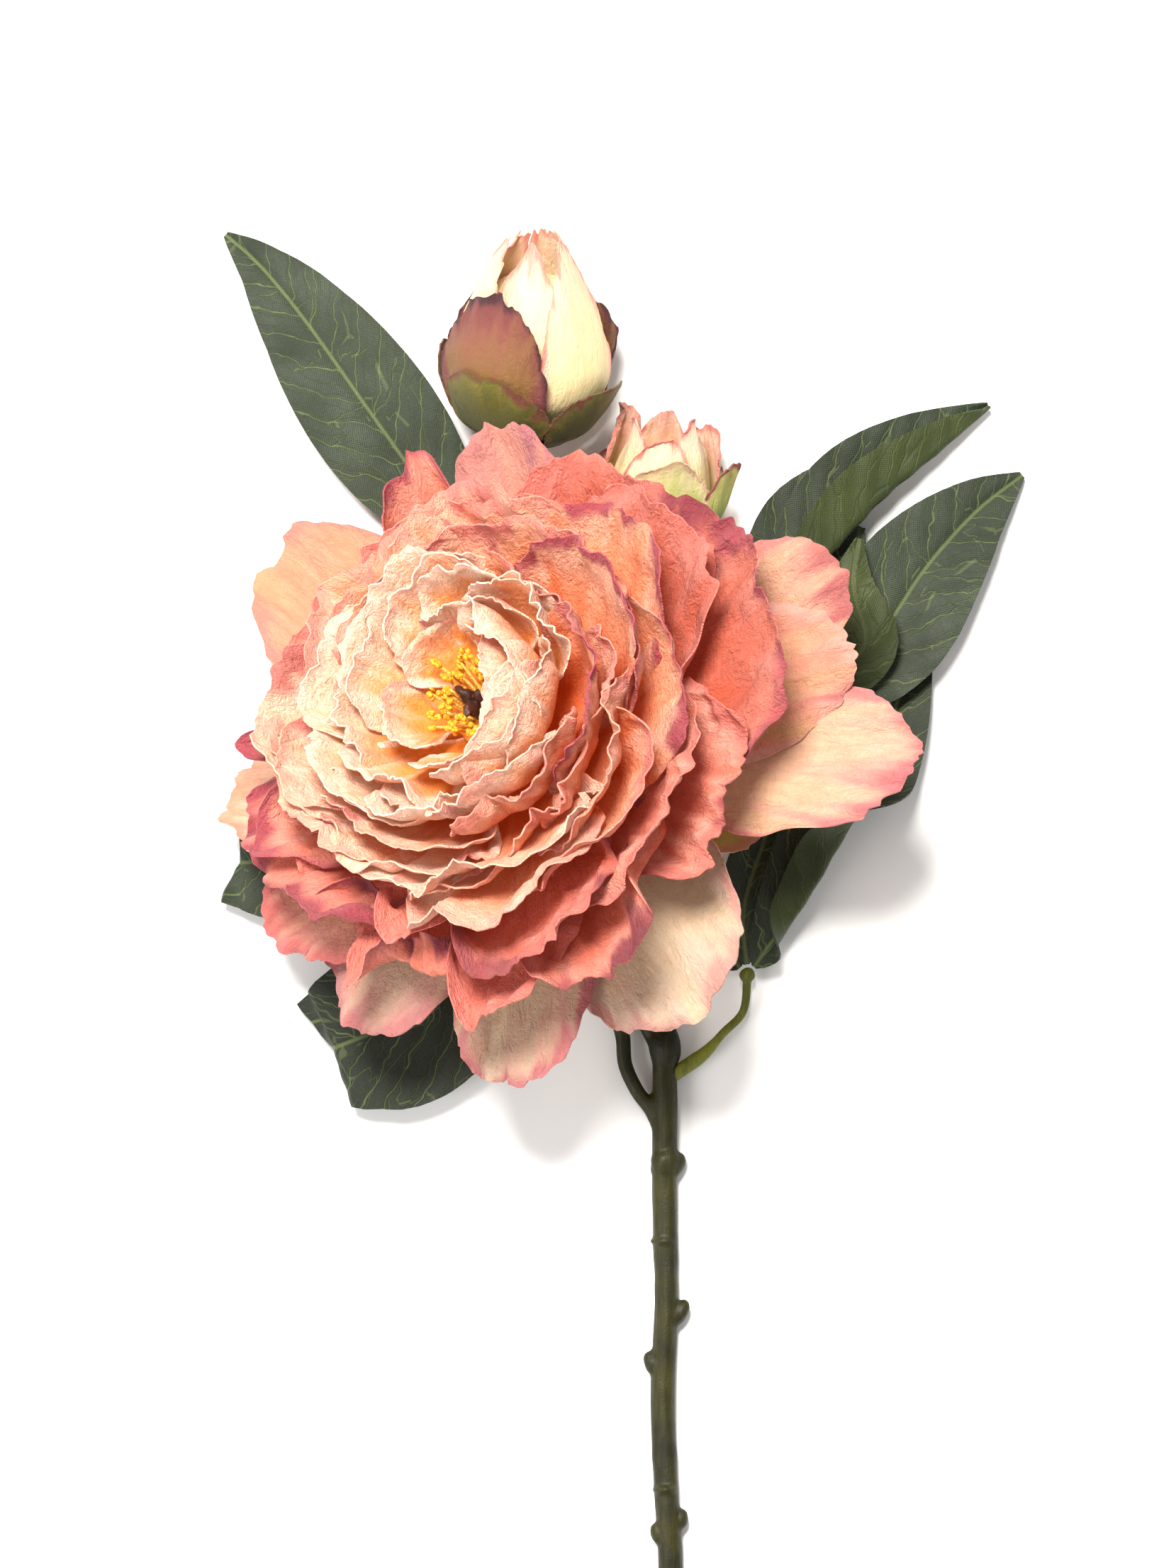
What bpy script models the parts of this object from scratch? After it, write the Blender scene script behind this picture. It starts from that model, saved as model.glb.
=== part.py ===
"""An artificial peony stem, lying on its back on a flat surface.

One large double bloom, a closed bud above it and a half-open bud beside it stand on a plastic-coated wire
stem with fabric leaves. Lengths below are millimetres. X runs to the right along the width of the spray, Y
from the cut end of the stem to the top bud, and Z up from the surface. The bloom leans away from straight up,
towards the upper left, as the bent neck of the stem holds it.
"""

import math
from collections import namedtuple
from functools import partial

import bmesh
import bpy
import numpy as np
from mathutils import Matrix, Vector

MM = 0.001
SEAT_GAP = 0.3

# Cloth
PETAL_THICKNESS = 0.8
LEAF_THICKNESS = 0.7
FLOOR_SOFTNESS = 1.6

# Stem
STEM_RADIUS = 3.0
ARM_RADIUS = 2.0
NECK_RADIUS = 2.7
SIDE_BRANCH_RADIUS = 1.8
LEAF_STALK_RADIUS = 1.05
LEAF_SLEEVE_RADIUS = 1.75
LEAF_JOINT_RADIUS = 1.9
STEM_END = (12.0, -199, 3.0)
STEM_ROUTE = [STEM_END, (11.4, -165, 3.0), (11.2, -121, 3.0), (10.2, -104, 3.1), (9.4, -80, 3.0),
              (10.2, -55, 3.1), (9.7, -30, 3.2), (9.9, -8, 3.6), (9.6, 6, 4.0), (9.2, 20, 4.2), (7.0, 36, 4.2),
              (2.5, 50, 5.6)]
BUD_ARM_ROUTE = [(9.7, 0, 3.8), (4.3, 11, 4.2), (0, 26, 4.2), (-4, 46, 3.6), (-9, 70, 3.6), (-15, 95, 4.6),
                 (-20.5, 117, 8)]
SIDE_BUD_ARM_ROUTE = [(-8.6, 68, 3.6), (-7, 82, 4), (-1.5, 98, 5)]
BRANCH_ROUTE = [(9.7, -20, 3.2), (6.8, -12.5, 3.4), (3.2, -7.5, 3.6), (0.3, -1.2, 3.8), (-0.4, 6, 4)]
BRANCH_END = Vector((-3, 14, 4))
NECK_STRAIGHT = 8.0
BUD_ARM_STRAIGHT = 14.0
SIDE_BUD_ARM_STRAIGHT = 12.0

Knot = namedtuple("Knot", "centre axis radius half_length")
KNOTS = [
    Knot((9.8, -24.6, 3.7), (0.25, 1, 0), 3.6, 4.6), Knot((12.4, -25.4, 3.4), (0.5, 1, 0), 2.2, 3.4),
    Knot((9.6, -43.5, 3.5), (0, 1, 0), 3.4, 1.2), Knot((13.2, -60.6, 3.4), (0.6, 1, 0), 2.1, 3.6),
    Knot((7.0, -73, 3.2), (-0.5, 1, 0), 2.1, 3.4), Knot((10.0, -103, 3.6), (0, 1, 0), 3.5, 1.4),
    Knot((8.2, -113.6, 3.3), (-0.4, 1, 0), 1.9, 2.8), Knot((13.3, -110.4, 3.3), (0.4, 1, 0), 2.0, 3.0),
    Knot((9.8, 3.0, 4.4), (0, 1, 0), 3.8, 6.0),
]

# Leaf stalks: a wire through these points, the sleeve that plugs it on the stem, and the joints for leaves.
LeafStalk = namedtuple("LeafStalk", "name wire sleeve joints")
LEAF_STALKS = [
    LeafStalk("lower_right_leaf_stalk",
              [(12.2, -3.5, 3.6), (18.5, 0.9, 4.2), (24, 6.6, 4.6), (28.6, 11.7, 4.6), (29.6, 20.2, 4.4)],
              [(10.5, -4.5, 3.6), (18.5, 0.9, 4.2), (23.0, 5.4, 4.5)], [(29.6, 20.2, 4.4)]),
    LeafStalk("upper_right_leaf_stalk",
              [(7.5, 38, 4.2), (14, 54, 4.2), (27, 74, 4.6), (38.5, 90.0, 5.0), (38.5, 97, 5.2),
               (36.8, 105.0, 6.2)],
              [(6.5, 38, 4.2), (11, 48, 4.2), (15.5, 57, 4.3)], [(38.5, 90.0, 5.0), (36.8, 105.0, 6.2)]),
    LeafStalk("left_leaf_stalk", [(-2, 12, 4), (-7.5, 20, 4.2), (-16, 26.5, 4.6), (-26.4, 29.7, 5.0)],
              [(-2.5, 12.5, 4), (-6.5, 18.8, 4.2), (-10, 22.5, 4.3)], [(-26.4, 29.7, 5.0)]),
    LeafStalk("upper_left_leaf_stalk", [(-15, 95, 4.6), (-21, 104, 4.6), (-31.8, 117.6, 4.6)],
              [(-14.5, 94.5, 4.6), (-18.5, 100.5, 4.6), (-22, 105, 4.6)], [(-31.8, 117.6, 4.6)]),
]

# Bloom: its seat is the middle of the lowest petal row. Its axis leans by BLOOM_LEAN towards BLOOM_HEADING.
BLOOM_SEAT = Vector((-15.1, 69.7, 33.0))
BLOOM_LEAN = 35.0
BLOOM_HEADING = 142.0
CORE_RADIUS = 8.5
NECK_END = 8.3
CALYX_TOP = 1.3
CALYX_FOOT_RADIUS = 3.4
FOOT_HALF_WIDTH = 1.4
WIDENING = 0.6
LENGTH_UNEVENNESS = 0.03
LEAN_UNEVENNESS = 1.5
LEAST_CURVE = 0.004
TIGHTEST_CURVE_RADIUS = 6.0
PROFILE_STEPS = 40

# Buds: seat, direction, length and greatest radius, then the cups and discs on their axis and what is wrapped
# round them. A wrap's foot and top are shares of the bud's length. Its offset is from the bud's own outline.
BUD_SEAT = Vector((-23.5, 148.3, 14.5))
BUD_AXIS = Vector((0.06, 0.94, 0.34)).normalized()
BUD_LENGTH = 52.0
BUD_RADIUS = 20.0
SIDE_BUD_SEAT = Vector((6.5, 122.0, 12.5))
SIDE_BUD_AXIS = Vector((0.12, 0.94, 0.22)).normalized()
SIDE_BUD_LENGTH = 34.0
SIDE_BUD_RADIUS = 15.0
FOOT_TUCK = 2.5
CORE_DEPTH = 6.5
SIDE_CORE_DEPTH = 5.5
FOOT_SPAN = 0.78
Cup = namedtuple("Cup", "low high low_radius high_radius")
BUD_CALYX = Cup(0.0, 1.56, 4.0, 10.5)
BUD_INNER_CUP = Cup(2.1, 3.9, 8.6, 11.3)
BUD_FOOT = Cup(4.4, 7.3, 9.4, 12.0)
SIDE_BUD_CALYX = Cup(0.0, 2.9, 3.5, 9.0)
SIDE_BUD_FOOT = Cup(3.4, 6.8, 7.5, 10.0)
Wrap = namedtuple("Wrap", "azimuth half_span foot top offset flare")
BUD_PETALS = [
    Wrap(20, 57, 0.1, 0.97, -3.8, -0.4), Wrap(140, 57, 0.1, 0.98, -3.8, -0.4),
    Wrap(260, 57, 0.1, 0.96, -3.8, -0.4), Wrap(80, 50, 0.1, 0.99, -1.4, 0), Wrap(200, 50, 0.1, 0.97, -1.4, 0),
    Wrap(318, 46, 0.1, 1.0, -1.4, 0),
]
BUD_INNER_SEPALS = [
    Wrap(236, 53, 0.06, 0.74, 0.6, 0), Wrap(40, 40, 0.06, 0.60, 0.6, 0), Wrap(130, 34, 0.06, 0.66, 0.6, 0),
]
BUD_SEPALS = [
    Wrap(240, 50, 0.02, 0.42, 2.6, 0), Wrap(326, 46, 0.02, 0.36, 2.6, 1.2), Wrap(60, 44, 0.02, 0.38, 2.6, 0),
    Wrap(150, 42, 0.02, 0.40, 2.6, 0),
]
SIDE_BUD_PETALS = [
    Wrap(90, 57, 0.12, 0.98, -3.2, 3), Wrap(210, 57, 0.12, 0.95, -3.2, 5), Wrap(330, 57, 0.12, 1.0, -3.2, 3),
    Wrap(30, 50, 0.12, 0.9, -1.0, 5), Wrap(150, 50, 0.12, 0.98, -1.0, 7), Wrap(270, 50, 0.12, 0.88, -1.0, 4),
]
SIDE_BUD_SEPALS = [
    Wrap(340, 38, 0.05, 0.72, 0.9, 5.5), Wrap(280, 52, 0.05, 0.6, 0.9, 5), Wrap(120, 40, 0.05, 0.62, 0.9, 5.5),
    Wrap(50, 30, 0.05, 0.56, 0.9, 5),
]

Row = namedtuple(
    "Row",
    "petals length foot_angle rim_angle bend foot_radius foot_height half_width roll lean lean_to wave round "
    "columns rows",
)
Petal = namedtuple("Petal", "azimuth length lift width")


def evenly(count, first):
    """count petals that share a row alike."""
    return [Petal(first + 360.0 * step / count, 1.0, 0.0, 1.0) for step in range(count)]


# Petal rows of the bloom, from the back to the middle. Angles are measured from the bloom's axis, so that 90
# lies flat and 0 stands up. lean raises the petals on the lean_to side and lowers those across from it, and
# round is 0.5 for a half-round top and less for a broader one. Each petal has its direction round the axis,
# its share of the row's length, its lift and its share of the row's width.
GUARD_ROWS = [
    Row([Petal(359, 0.99, -5, 0.74), Petal(33, 0.90, 0, 0.78), Petal(94, 0.93, 36.6, 0.60),
         Petal(144, 1.04, 0, 0.88), Petal(187, 0.92, 0, 0.8), Petal(232, 0.90, 0, 0.8),
         Petal(265, 0.90, 0, 0.72)], 84, 84, 88, 1.0, 6, 1.5, 31, 5, 12, 142, 2.0, 0.3, 4, 3),
    Row([Petal(18, 1.06, -4, 0.85), Petal(211, 1.04, 0, 1.0), Petal(301, 0.95, 0, 1.15)], 72, 85, 88, 1.0, 6,
        4.0, 25, 5, 10, 142, 1.6, 0.3, 4, 3),
]
CORAL_ROWS = [
    Row([Petal(22, 1.05, 0, 1.0), Petal(65, 0.98, 6, 1.0), Petal(111, 1.04, 12, 1.0), Petal(165, 1.09, 2, 1.0),
         Petal(210, 1.0, 2, 1.0), Petal(257, 1.08, 2, 1.0), Petal(300, 1.02, 6, 1.0), Petal(338, 0.88, 6, 0.9)],
        65, 85, 60, 1.2, 7, 10.0, 34, 9, 7, 142, 1.4, 0.14, 3, 3),
    Row([Petal(43, 1.08, 2, 1.0), Petal(91, 1.0, 8, 1.0), Petal(139, 1.0, 0, 0.95), Petal(187, 1.02, 0, 1.0),
         Petal(234, 1.0, 0, 1.0), Petal(281, 1.05, 4, 1.0), Petal(326, 0.98, 8, 1.0)],
        61, 82.5, 48, 1.3, 7, 13.0, 32, 9, 2, 142, 1.4, 0.14, 3, 3),
]
PEACH_ROWS = [
    Row(evenly(8, 10), 56, 82, 25, 1.3, 7, 19.5, 28, 7, -1, 15, 1.0, 0.14, 3, 3),
    Row(evenly(7, 31), 51, 79, 15, 1.3, 7, 22.0, 26, 8, 6, 15, 0.9, 0.14, 3, 3),
    Row(evenly(6, 2), 46, 75, 4, 1.3, 7, 24.5, 25, 7, 9, 15, 0.8, 0.14, 3, 3),
]
CREAM_ROWS = [
    Row([Petal(24, 1.0, 13, 1.0), Petal(84, 1.0, 5, 1.0), Petal(144, 1.0, 0, 1.0), Petal(204, 1.0, 0, 1.0),
         Petal(264, 1.0, 0, 1.0), Petal(324, 1.0, 12, 1.0)], 40, 71, -8, 1.3, 7, 31.5, 18, 7, 12, 15, 1.2, 0.2, 3, 3),
    Row([Petal(8, 1.0, 13, 1.0), Petal(80, 1.0, 4, 1.0), Petal(152, 1.0, 0, 1.0), Petal(224, 1.0, 0, 1.0),
         Petal(296, 1.0, 7, 1.0)], 34, 64, -10, 1.3, 6.5, 33.5, 16, 8, 14, 15, 1.0, 0.2, 3, 3),
    Row(evenly(5, 50), 23, 56, -2, 1.2, 6.5, 35.5, 12, 8, 6, 15, 0.8, 0.2, 3, 3),
]
SEPAL_ROW = Row([Petal(342, 1.0, 0, 1), Petal(60, 0.9, 0, 1), Petal(130, 1.0, 0, 1), Petal(200, 0.9, 0, 1),
                 Petal(272, 1.0, 0, 1)], 44, 86, 94, 1.0, 5, -4.5, 14, 0, 12, 142, 1.2, 0.5, 3, 3)
GUARD_CORE = (-1.0, 6.4)
CORAL_CORE = (6.7, 16.5)
PEACH_CORE = (16.8, 29.1)
CREAM_CORE = (29.4, 36.6)
STAMEN_DISC = (36.9, 38.4)
STAMEN_COUNT = 16
STAMEN_LENGTH = 14.0
STAMEN_RING = 5.2
STAMEN_SPREAD = 20.0
FILAMENT_RADIUS = 0.55
ANTHER_RADIUS = 1.1
ANTHER_HALF_LENGTH = 2.0
CARPEL_COUNT = 3
CARPEL_LENGTH = 9.0
CARPEL_RADIUS = 1.9
CARPEL_FOOT_RADIUS = 3.0
CARPEL_FOOT_HEIGHT = 1.6
CARPEL_RING = 1.7

Leaf = namedtuple("Leaf", "name route half_width roll_start roll_end fold curl curl_from curl_to")

# Leaves, each along a route from its joint to its tip. roll turns the blade about its midrib, fold lifts both
# halves beside the midrib, and curl turns the right-hand margin over, between two places along the leaf.
LEAVES = [
    Leaf("leaf_upper_left", [(-33.3, 119.4, 4.6), (-48.3, 137.8, 5.5), (-60.8, 155, 6.5), (-76, 176.5, 5),
         (-87, 190, 3), (-95.5, 197.7, 1.2)], 15.0, 0, 0, 7, 0, 0, 1),
    Leaf("leaf_upper_right", [(38.0, 106.4, 7.7), (44.5, 117.5, 10), (53.5, 129, 9.5), (61.5, 137, 8.5),
         (74, 146.5, 6), (87.4, 156.7, 3)], 14.5, 0, -4, 5, 168, 0.02, 1.15),
    Leaf("leaf_upper_right_back", [(35.8, 107.3, 4.4), (36.5, 117, 3), (42, 128, 2.4), (50, 137, 2),
         (58, 144, 1.5)], 9.0, 0, 0, 3, 0, 0, 1),
    Leaf("leaf_right", [(41.0, 90.3, 5.6), (51, 92, 8.5), (61.5, 102, 7.8), (72, 117.5, 7), (84, 131, 5.4),
         (95.5, 140.1, 1.5)], 15.0, 0, 0, 4, 0, 0, 1),
    Leaf("leaf_right_turned", [(40.6, 91.3, 7.2), (50, 92.5, 13.5), (57.5, 100, 15), (54.5, 113, 15),
         (56, 124.5, 13)], 7.5, 170, 180, -4, 0, 0, 1),
    Leaf("leaf_right_inner", [(40.4, 91.8, 3.6), (46.5, 100, 3.8), (50, 111, 4.6), (57, 127.5, 4.6)], 6.0,
         0, 0, 3, 0, 0, 1),
    Leaf("leaf_lower_right", [(31.2, 22.2, 6.0), (42, 38.5, 11), (51.5, 56, 11), (61, 74, 6.5), (67.5, 91, 2.6),
         (72.5, 107, 1.2)], 12.0, 10, 0, 6, 150, 0.02, 0.62),
    Leaf("leaf_lower_right_back", [(29.3, 22.8, 4.6), (28.4, 33, 6.0), (30, 42, 6.4), (34, 54, 6.4),
         (36, 66, 6.4), (38, 80, 6)], 6.5, -12, -10, 6, 0, 0, 1),
    Leaf("leaf_lower_inner", [(27.7, 21.9, 3.2), (23, 27.5, 2.4), (19.5, 35, 2.2), (17, 45, 2.2)], 6.0,
         0, 0, 3, 0, 0, 1),
    Leaf("leaf_left", [(-28.4, 31.6, 4.0), (-48, 40.5, 5.5), (-66, 46.2, 7.0), (-84, 47.2, 7.2),
         (-92.0, 47.2, 6.0), (-92.4, 47.2, 3.9), (-86, 47.2, 2.2), (-75, 47.2, 1.2)], 16.0, 0, 0, 3, 0, 0, 1),
    Leaf("leaf_lower_left", [(-28.1, 28.4, 5.7), (-42, 16.5, 10), (-54, 9.0, 9.5), (-63.7, 5.1, 8.2),
         (-69.4, 2.9, 6.6), (-69.8, 2.75, 4.4), (-64.5, 4.8, 2.6), (-54, 8.9, 1.2)], 20.0, 0, 0, 3, 0, 0, 1),
]
LEAF_ROWS = 8
SMALL_LEAF = 10.0
SMALL_LEAF_ROWS = 6
LEAF_COLUMNS = 4
CURLED_LEAF_COLUMNS = 6
LEAF_END_HALF_WIDTH = 0.7
LEAF_FULLEST = 0.82
LEAF_ROUNDNESS = 0.9
CURL_STEPS = 24
CURL_START = 0.16
CURL_FADE = 0.3
CURL_WIDTH = 0.32


def smooth(value):
    """0 below 0, 1 above 1, and an even S-curve between."""
    value = min(max(value, 0.0), 1.0)
    return value * value * (3.0 - 2.0 * value)


def uneven(number, trait):
    """A repeatable value between -1 and 1 that differs for each petal number and each trait."""
    return math.sin(number * 2.399963 * trait + 1.7 * trait)


def above_surface(place, half_thickness):
    """Flattens whatever would reach below the surface, so that cloth lies on it."""
    height = place.z - half_thickness
    raised = half_thickness + 0.5 * (height + math.hypot(height, FLOOR_SOFTNESS))
    return Vector((place.x, place.y, raised))


def finish(name, colour, roughness=0.7):
    made = bpy.data.materials.new(name)
    made.use_nodes = True
    shader = made.node_tree.nodes["Principled BSDF"]
    shader.inputs["Base Color"].default_value = (*colour, 1.0)
    shader.inputs["Roughness"].default_value = roughness
    shader.inputs["Metallic"].default_value = 0.0
    return made


def new_object(name, mesh):
    made = bpy.data.objects.new(name, mesh)
    parts.objects.link(made)
    return made


def mesh_from(bm, name):
    """Takes a bmesh in millimetres to a mesh in metres."""
    bmesh.ops.scale(bm, vec=(MM, MM, MM), verts=bm.verts)
    mesh = bpy.data.meshes.new(name)
    bm.to_mesh(mesh)
    bm.free()
    return mesh


def blade(name, columns, rows, place, thickness):
    """A sheet of cloth: a grid laid along and across a surface, then thickened evenly to both sides."""
    bm = bmesh.new()
    bmesh.ops.create_grid(bm, x_segments=columns, y_segments=rows, size=1.0)
    for vertex in bm.verts:
        vertex.co = place(0.5 * (vertex.co.y + 1.0), vertex.co.x)
    bmesh.ops.triangulate(bm, faces=bm.faces, quad_method="SHORT_EDGE")
    made = new_object(name, mesh_from(bm, name))
    solid = made.modifiers.new("cloth", "SOLIDIFY")
    solid.thickness = thickness * MM
    solid.offset = 0.0
    return made


def smooth_route(stops, step):
    """Points every step or so along a smooth curve through the stops."""
    stops = [Vector(stop) for stop in stops]
    ends = [2 * stops[0] - stops[1], *stops, 2 * stops[-1] - stops[-2]]
    route = []
    for before, start, end, after in zip(ends, ends[1:], ends[2:], ends[3:]):
        pieces = max(1, round((end - start).length / step))
        for piece in range(pieces):
            t = piece / pieces
            route.append(
                0.5 * (2 * start + (end - before) * t + (2 * before - 5 * start + 4 * end - after) * t ** 2
                       + (3 * start - before - 3 * end + after) * t ** 3)
            )
    return route + [stops[-1]]


def tube(name, stops, radii, step=9.0, resolution=2):
    """A round stalk along the stops; the radius runs evenly from each of radii to the next."""
    route = smooth_route(stops, step)
    curve = bpy.data.curves.new(name, "CURVE")
    curve.dimensions = "3D"
    curve.bevel_depth = MM
    curve.bevel_resolution = resolution
    curve.use_fill_caps = True
    spline = curve.splines.new("POLY")
    spline.points.add(len(route) - 1)
    for number, place in enumerate(route):
        spline.points[number].co = (*(place * MM), 1.0)
        spline.points[number].radius = np.interp(
            number / (len(route) - 1), np.linspace(0.0, 1.0, len(radii)), radii
        )
    guide = bpy.data.objects.new(name + "_curve", curve)
    parts.objects.link(guide)
    mesh = bpy.data.meshes.new_from_object(guide.evaluated_get(bpy.context.evaluated_depsgraph_get()))
    bpy.data.objects.remove(guide)
    bm = bmesh.new()
    bm.from_mesh(mesh)
    bmesh.ops.remove_doubles(bm, verts=bm.verts, dist=1e-6)
    bmesh.ops.recalc_face_normals(bm, faces=bm.faces)
    bm.to_mesh(mesh)
    bm.free()
    return new_object(name, mesh)


def ball(name, centre, axis, radius, half_length, segments=7, rings=4):
    """An ellipsoid with its long axis along axis."""
    bm = bmesh.new()
    bmesh.ops.create_uvsphere(bm, u_segments=segments, v_segments=rings, radius=1.0)
    bmesh.ops.scale(bm, vec=(radius, radius, half_length), verts=bm.verts)
    turn = Vector((0, 0, 1)).rotation_difference(Vector(axis)).to_matrix()
    bmesh.ops.rotate(bm, verts=bm.verts, matrix=turn, cent=(0, 0, 0))
    bmesh.ops.translate(bm, verts=bm.verts, vec=centre)
    return new_object(name, mesh_from(bm, name))


def disc(name, frame, low, high, low_radius, high_radius, segments=12):
    """A short cone between two heights on the axis of a frame."""
    bm = bmesh.new()
    bmesh.ops.create_cone(
        bm, cap_ends=True, segments=segments, radius1=low_radius, radius2=high_radius, depth=high - low
    )
    bmesh.ops.translate(bm, verts=bm.verts, vec=(0, 0, 0.5 * (low + high)))
    bmesh.ops.transform(bm, matrix=frame, verts=bm.verts)
    bmesh.ops.triangulate(bm, faces=bm.faces)
    return new_object(name, mesh_from(bm, name))


def outer_body(mesh):
    """Keeps only the largest closed body of a mesh: sealed hollows and loose scraps go."""
    bm = bmesh.new()
    bm.from_mesh(mesh)
    bmesh.ops.triangulate(bm, faces=bm.faces)
    waiting = set(bm.faces)
    bodies = []
    while waiting:
        queue = [waiting.pop()]
        body = []
        while queue:
            face = queue.pop()
            body.append(face)
            for edge in face.edges:
                for other in edge.link_faces:
                    if other in waiting:
                        waiting.remove(other)
                        queue.append(other)
        volume = sum(f.verts[0].co.dot(f.verts[1].co.cross(f.verts[2].co)) for f in body)
        bodies.append((volume, body))
    bodies.sort(key=lambda entry: entry[0], reverse=True)
    spare = [face for _, body in bodies[1:] for face in body]
    bmesh.ops.delete(bm, geom=spare, context="FACES")
    loose = [vertex for vertex in bm.verts if not vertex.link_faces]
    bmesh.ops.delete(bm, geom=loose, context="VERTS")
    bm.to_mesh(mesh)
    bm.free()


def combine(name, first, others, operation, material):
    """One Boolean of first with every object in others, applied; the pieces are then removed."""
    group = bpy.data.collections.new(name + "_pieces")
    bpy.context.scene.collection.children.link(group)
    for other in others:
        parts.objects.unlink(other)
        group.objects.link(other)
    join = first.modifiers.new("join", "BOOLEAN")
    join.operation = operation
    join.operand_type = "COLLECTION"
    join.collection = group
    join.solver = "MANIFOLD"
    bpy.context.view_layer.update()
    mesh = bpy.data.meshes.new_from_object(first.evaluated_get(bpy.context.evaluated_depsgraph_get()))
    for other in others:
        bpy.data.objects.remove(other)
    bpy.data.collections.remove(group)
    bpy.data.objects.remove(first)
    outer_body(mesh)
    mesh.name = name
    mesh.materials.clear()
    mesh.materials.append(material)
    return new_object(name, mesh)


def fuse(name, pieces, material):
    return combine(name, pieces[0], pieces[1:], "UNION", material)


def place_at(made, place):
    """Moves an object's origin to the place where the real piece is fixed."""
    place = Vector(place) * MM
    made.data.transform(Matrix.Translation(-place))
    made.location = place
    made.parent = spray


# Stem


def stem_pieces(clearance=0.0):
    """The plastic-coated shaft with its knots, the neck of the bloom and the arms of the two buds."""
    neck = bloom_frame @ Vector((0, 0, -NECK_END))
    neck_low = bloom_frame @ Vector((0, 0, -NECK_END - NECK_STRAIGHT))
    bud_end = BUD_SEAT - SEAT_GAP * BUD_AXIS
    side_end = SIDE_BUD_SEAT - SEAT_GAP * SIDE_BUD_AXIS
    branch_ahead = (BRANCH_END - Vector(BRANCH_ROUTE[-1])).normalized()
    shaft = [*STEM_ROUTE, neck_low, neck]
    bud_arm = [*BUD_ARM_ROUTE, bud_end - BUD_ARM_STRAIGHT * BUD_AXIS, bud_end]
    side_arm = [*SIDE_BUD_ARM_ROUTE, side_end - SIDE_BUD_ARM_STRAIGHT * SIDE_BUD_AXIS, side_end]
    branch = [*BRANCH_ROUTE, BRANCH_END + clearance * branch_ahead]
    shaft_radii = [STEM_RADIUS + clearance] * 9 + [NECK_RADIUS + clearance] * 3
    pieces = [
        tube("shaft", shaft, shaft_radii, 14.0),
        tube("bud_arm", bud_arm, [ARM_RADIUS + clearance] * 2, 13.0, 1),
        tube("side_bud_arm", side_arm, [SIDE_BRANCH_RADIUS + clearance] * 2, 11.0, 1),
        tube("branch", branch, [SIDE_BRANCH_RADIUS + clearance] * 2, 8.0, 1),
    ]
    for number, knot in enumerate(KNOTS):
        size = (knot.radius + clearance, knot.half_length + clearance)
        pieces.append(ball(f"knot_{number}", knot.centre, knot.axis, *size))
    return pieces


def build_stem():
    stem = fuse("stem", stem_pieces(), stem_finish)
    place_at(stem, STEM_END)
    clearance = fuse("stem_clearance", stem_pieces(SEAT_GAP), stem_finish)
    parts.objects.unlink(clearance)
    cutters.objects.link(clearance)
    clearance.hide_render = True
    clearance.display_type = "WIRE"
    clearance.parent = spray
    return clearance


def build_leaf_stalk(stalk, clearance):
    """A thin stalk plugged into the stem by a thicker sleeve, with a swelling where its leaves are fixed."""
    sleeve_radii = [LEAF_SLEEVE_RADIUS, LEAF_SLEEVE_RADIUS, 0.9 * LEAF_STALK_RADIUS]
    pieces = [
        tube(stalk.name + "_wire", stalk.wire, [LEAF_STALK_RADIUS] * 2, 10.0, 1),
        tube(stalk.name + "_sleeve", stalk.sleeve, sleeve_radii, 4.0, 1),
    ]
    for number, centre in enumerate(stalk.joints):
        pieces.append(
            ball(f"{stalk.name}_joint_{number}", centre, (0, 0, 1), LEAF_JOINT_RADIUS, LEAF_JOINT_RADIUS, 6, 5)
        )
    whole = fuse(stalk.name, pieces, leaf_stalk_finish)
    cut = whole.modifiers.new("seat", "BOOLEAN")
    cut.operation = "DIFFERENCE"
    cut.object = clearance
    mesh = bpy.data.meshes.new_from_object(whole.evaluated_get(bpy.context.evaluated_depsgraph_get()))
    whole.modifiers.clear()
    outer_body(mesh)
    whole.data = mesh
    place_at(whole, stalk.sleeve[0])


# Leaves


def leaf_width(along, half_width):
    """Half the width of a pointed, oval leaf."""
    if not 0 < along < 1:
        return LEAF_END_HALF_WIDTH
    return LEAF_END_HALF_WIDTH + half_width * math.sin(math.pi * along ** LEAF_FULLEST) ** LEAF_ROUNDNESS


def leaf_place(leaf, route, along, across):
    """A point of a leaf's middle surface."""
    spot = along * (len(route) - 1)
    first = min(int(spot), len(route) - 2)
    centre = route[first].lerp(route[first + 1], spot - first)
    before, after = route[max(first - 1, 0)], route[min(first + 2, len(route) - 1)]
    ahead = (after - before).normalized()
    flat = Vector((ahead.x, ahead.y, 0)).normalized()
    across_way = leaf_side(route, flat)
    lift = across_way.cross(ahead).normalized()
    roll = math.radians(leaf.roll_start + (leaf.roll_end - leaf.roll_start) * along)
    side = math.cos(roll) * across_way + math.sin(roll) * lift
    face = math.cos(roll) * lift - math.sin(roll) * across_way
    reach = abs(across) * leaf_width(along, leaf.half_width)
    started = smooth((along - leaf.curl_from) / CURL_START)
    turned = leaf.curl * started * smooth((leaf.curl_to - along) / CURL_FADE)
    out, up = 0.0, 0.0
    for step in range(CURL_STEPS):
        share = (step + 0.5) / CURL_STEPS * abs(across)
        angle = leaf.fold + (turned * smooth((share - 0.04) / CURL_WIDTH) if across > 0 else 0.0)
        out += math.cos(math.radians(angle)) * reach / CURL_STEPS
        up += math.sin(math.radians(angle)) * reach / CURL_STEPS
    return above_surface(centre + math.copysign(1.0, across) * out * side + up * face, 0.5 * LEAF_THICKNESS)


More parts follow.
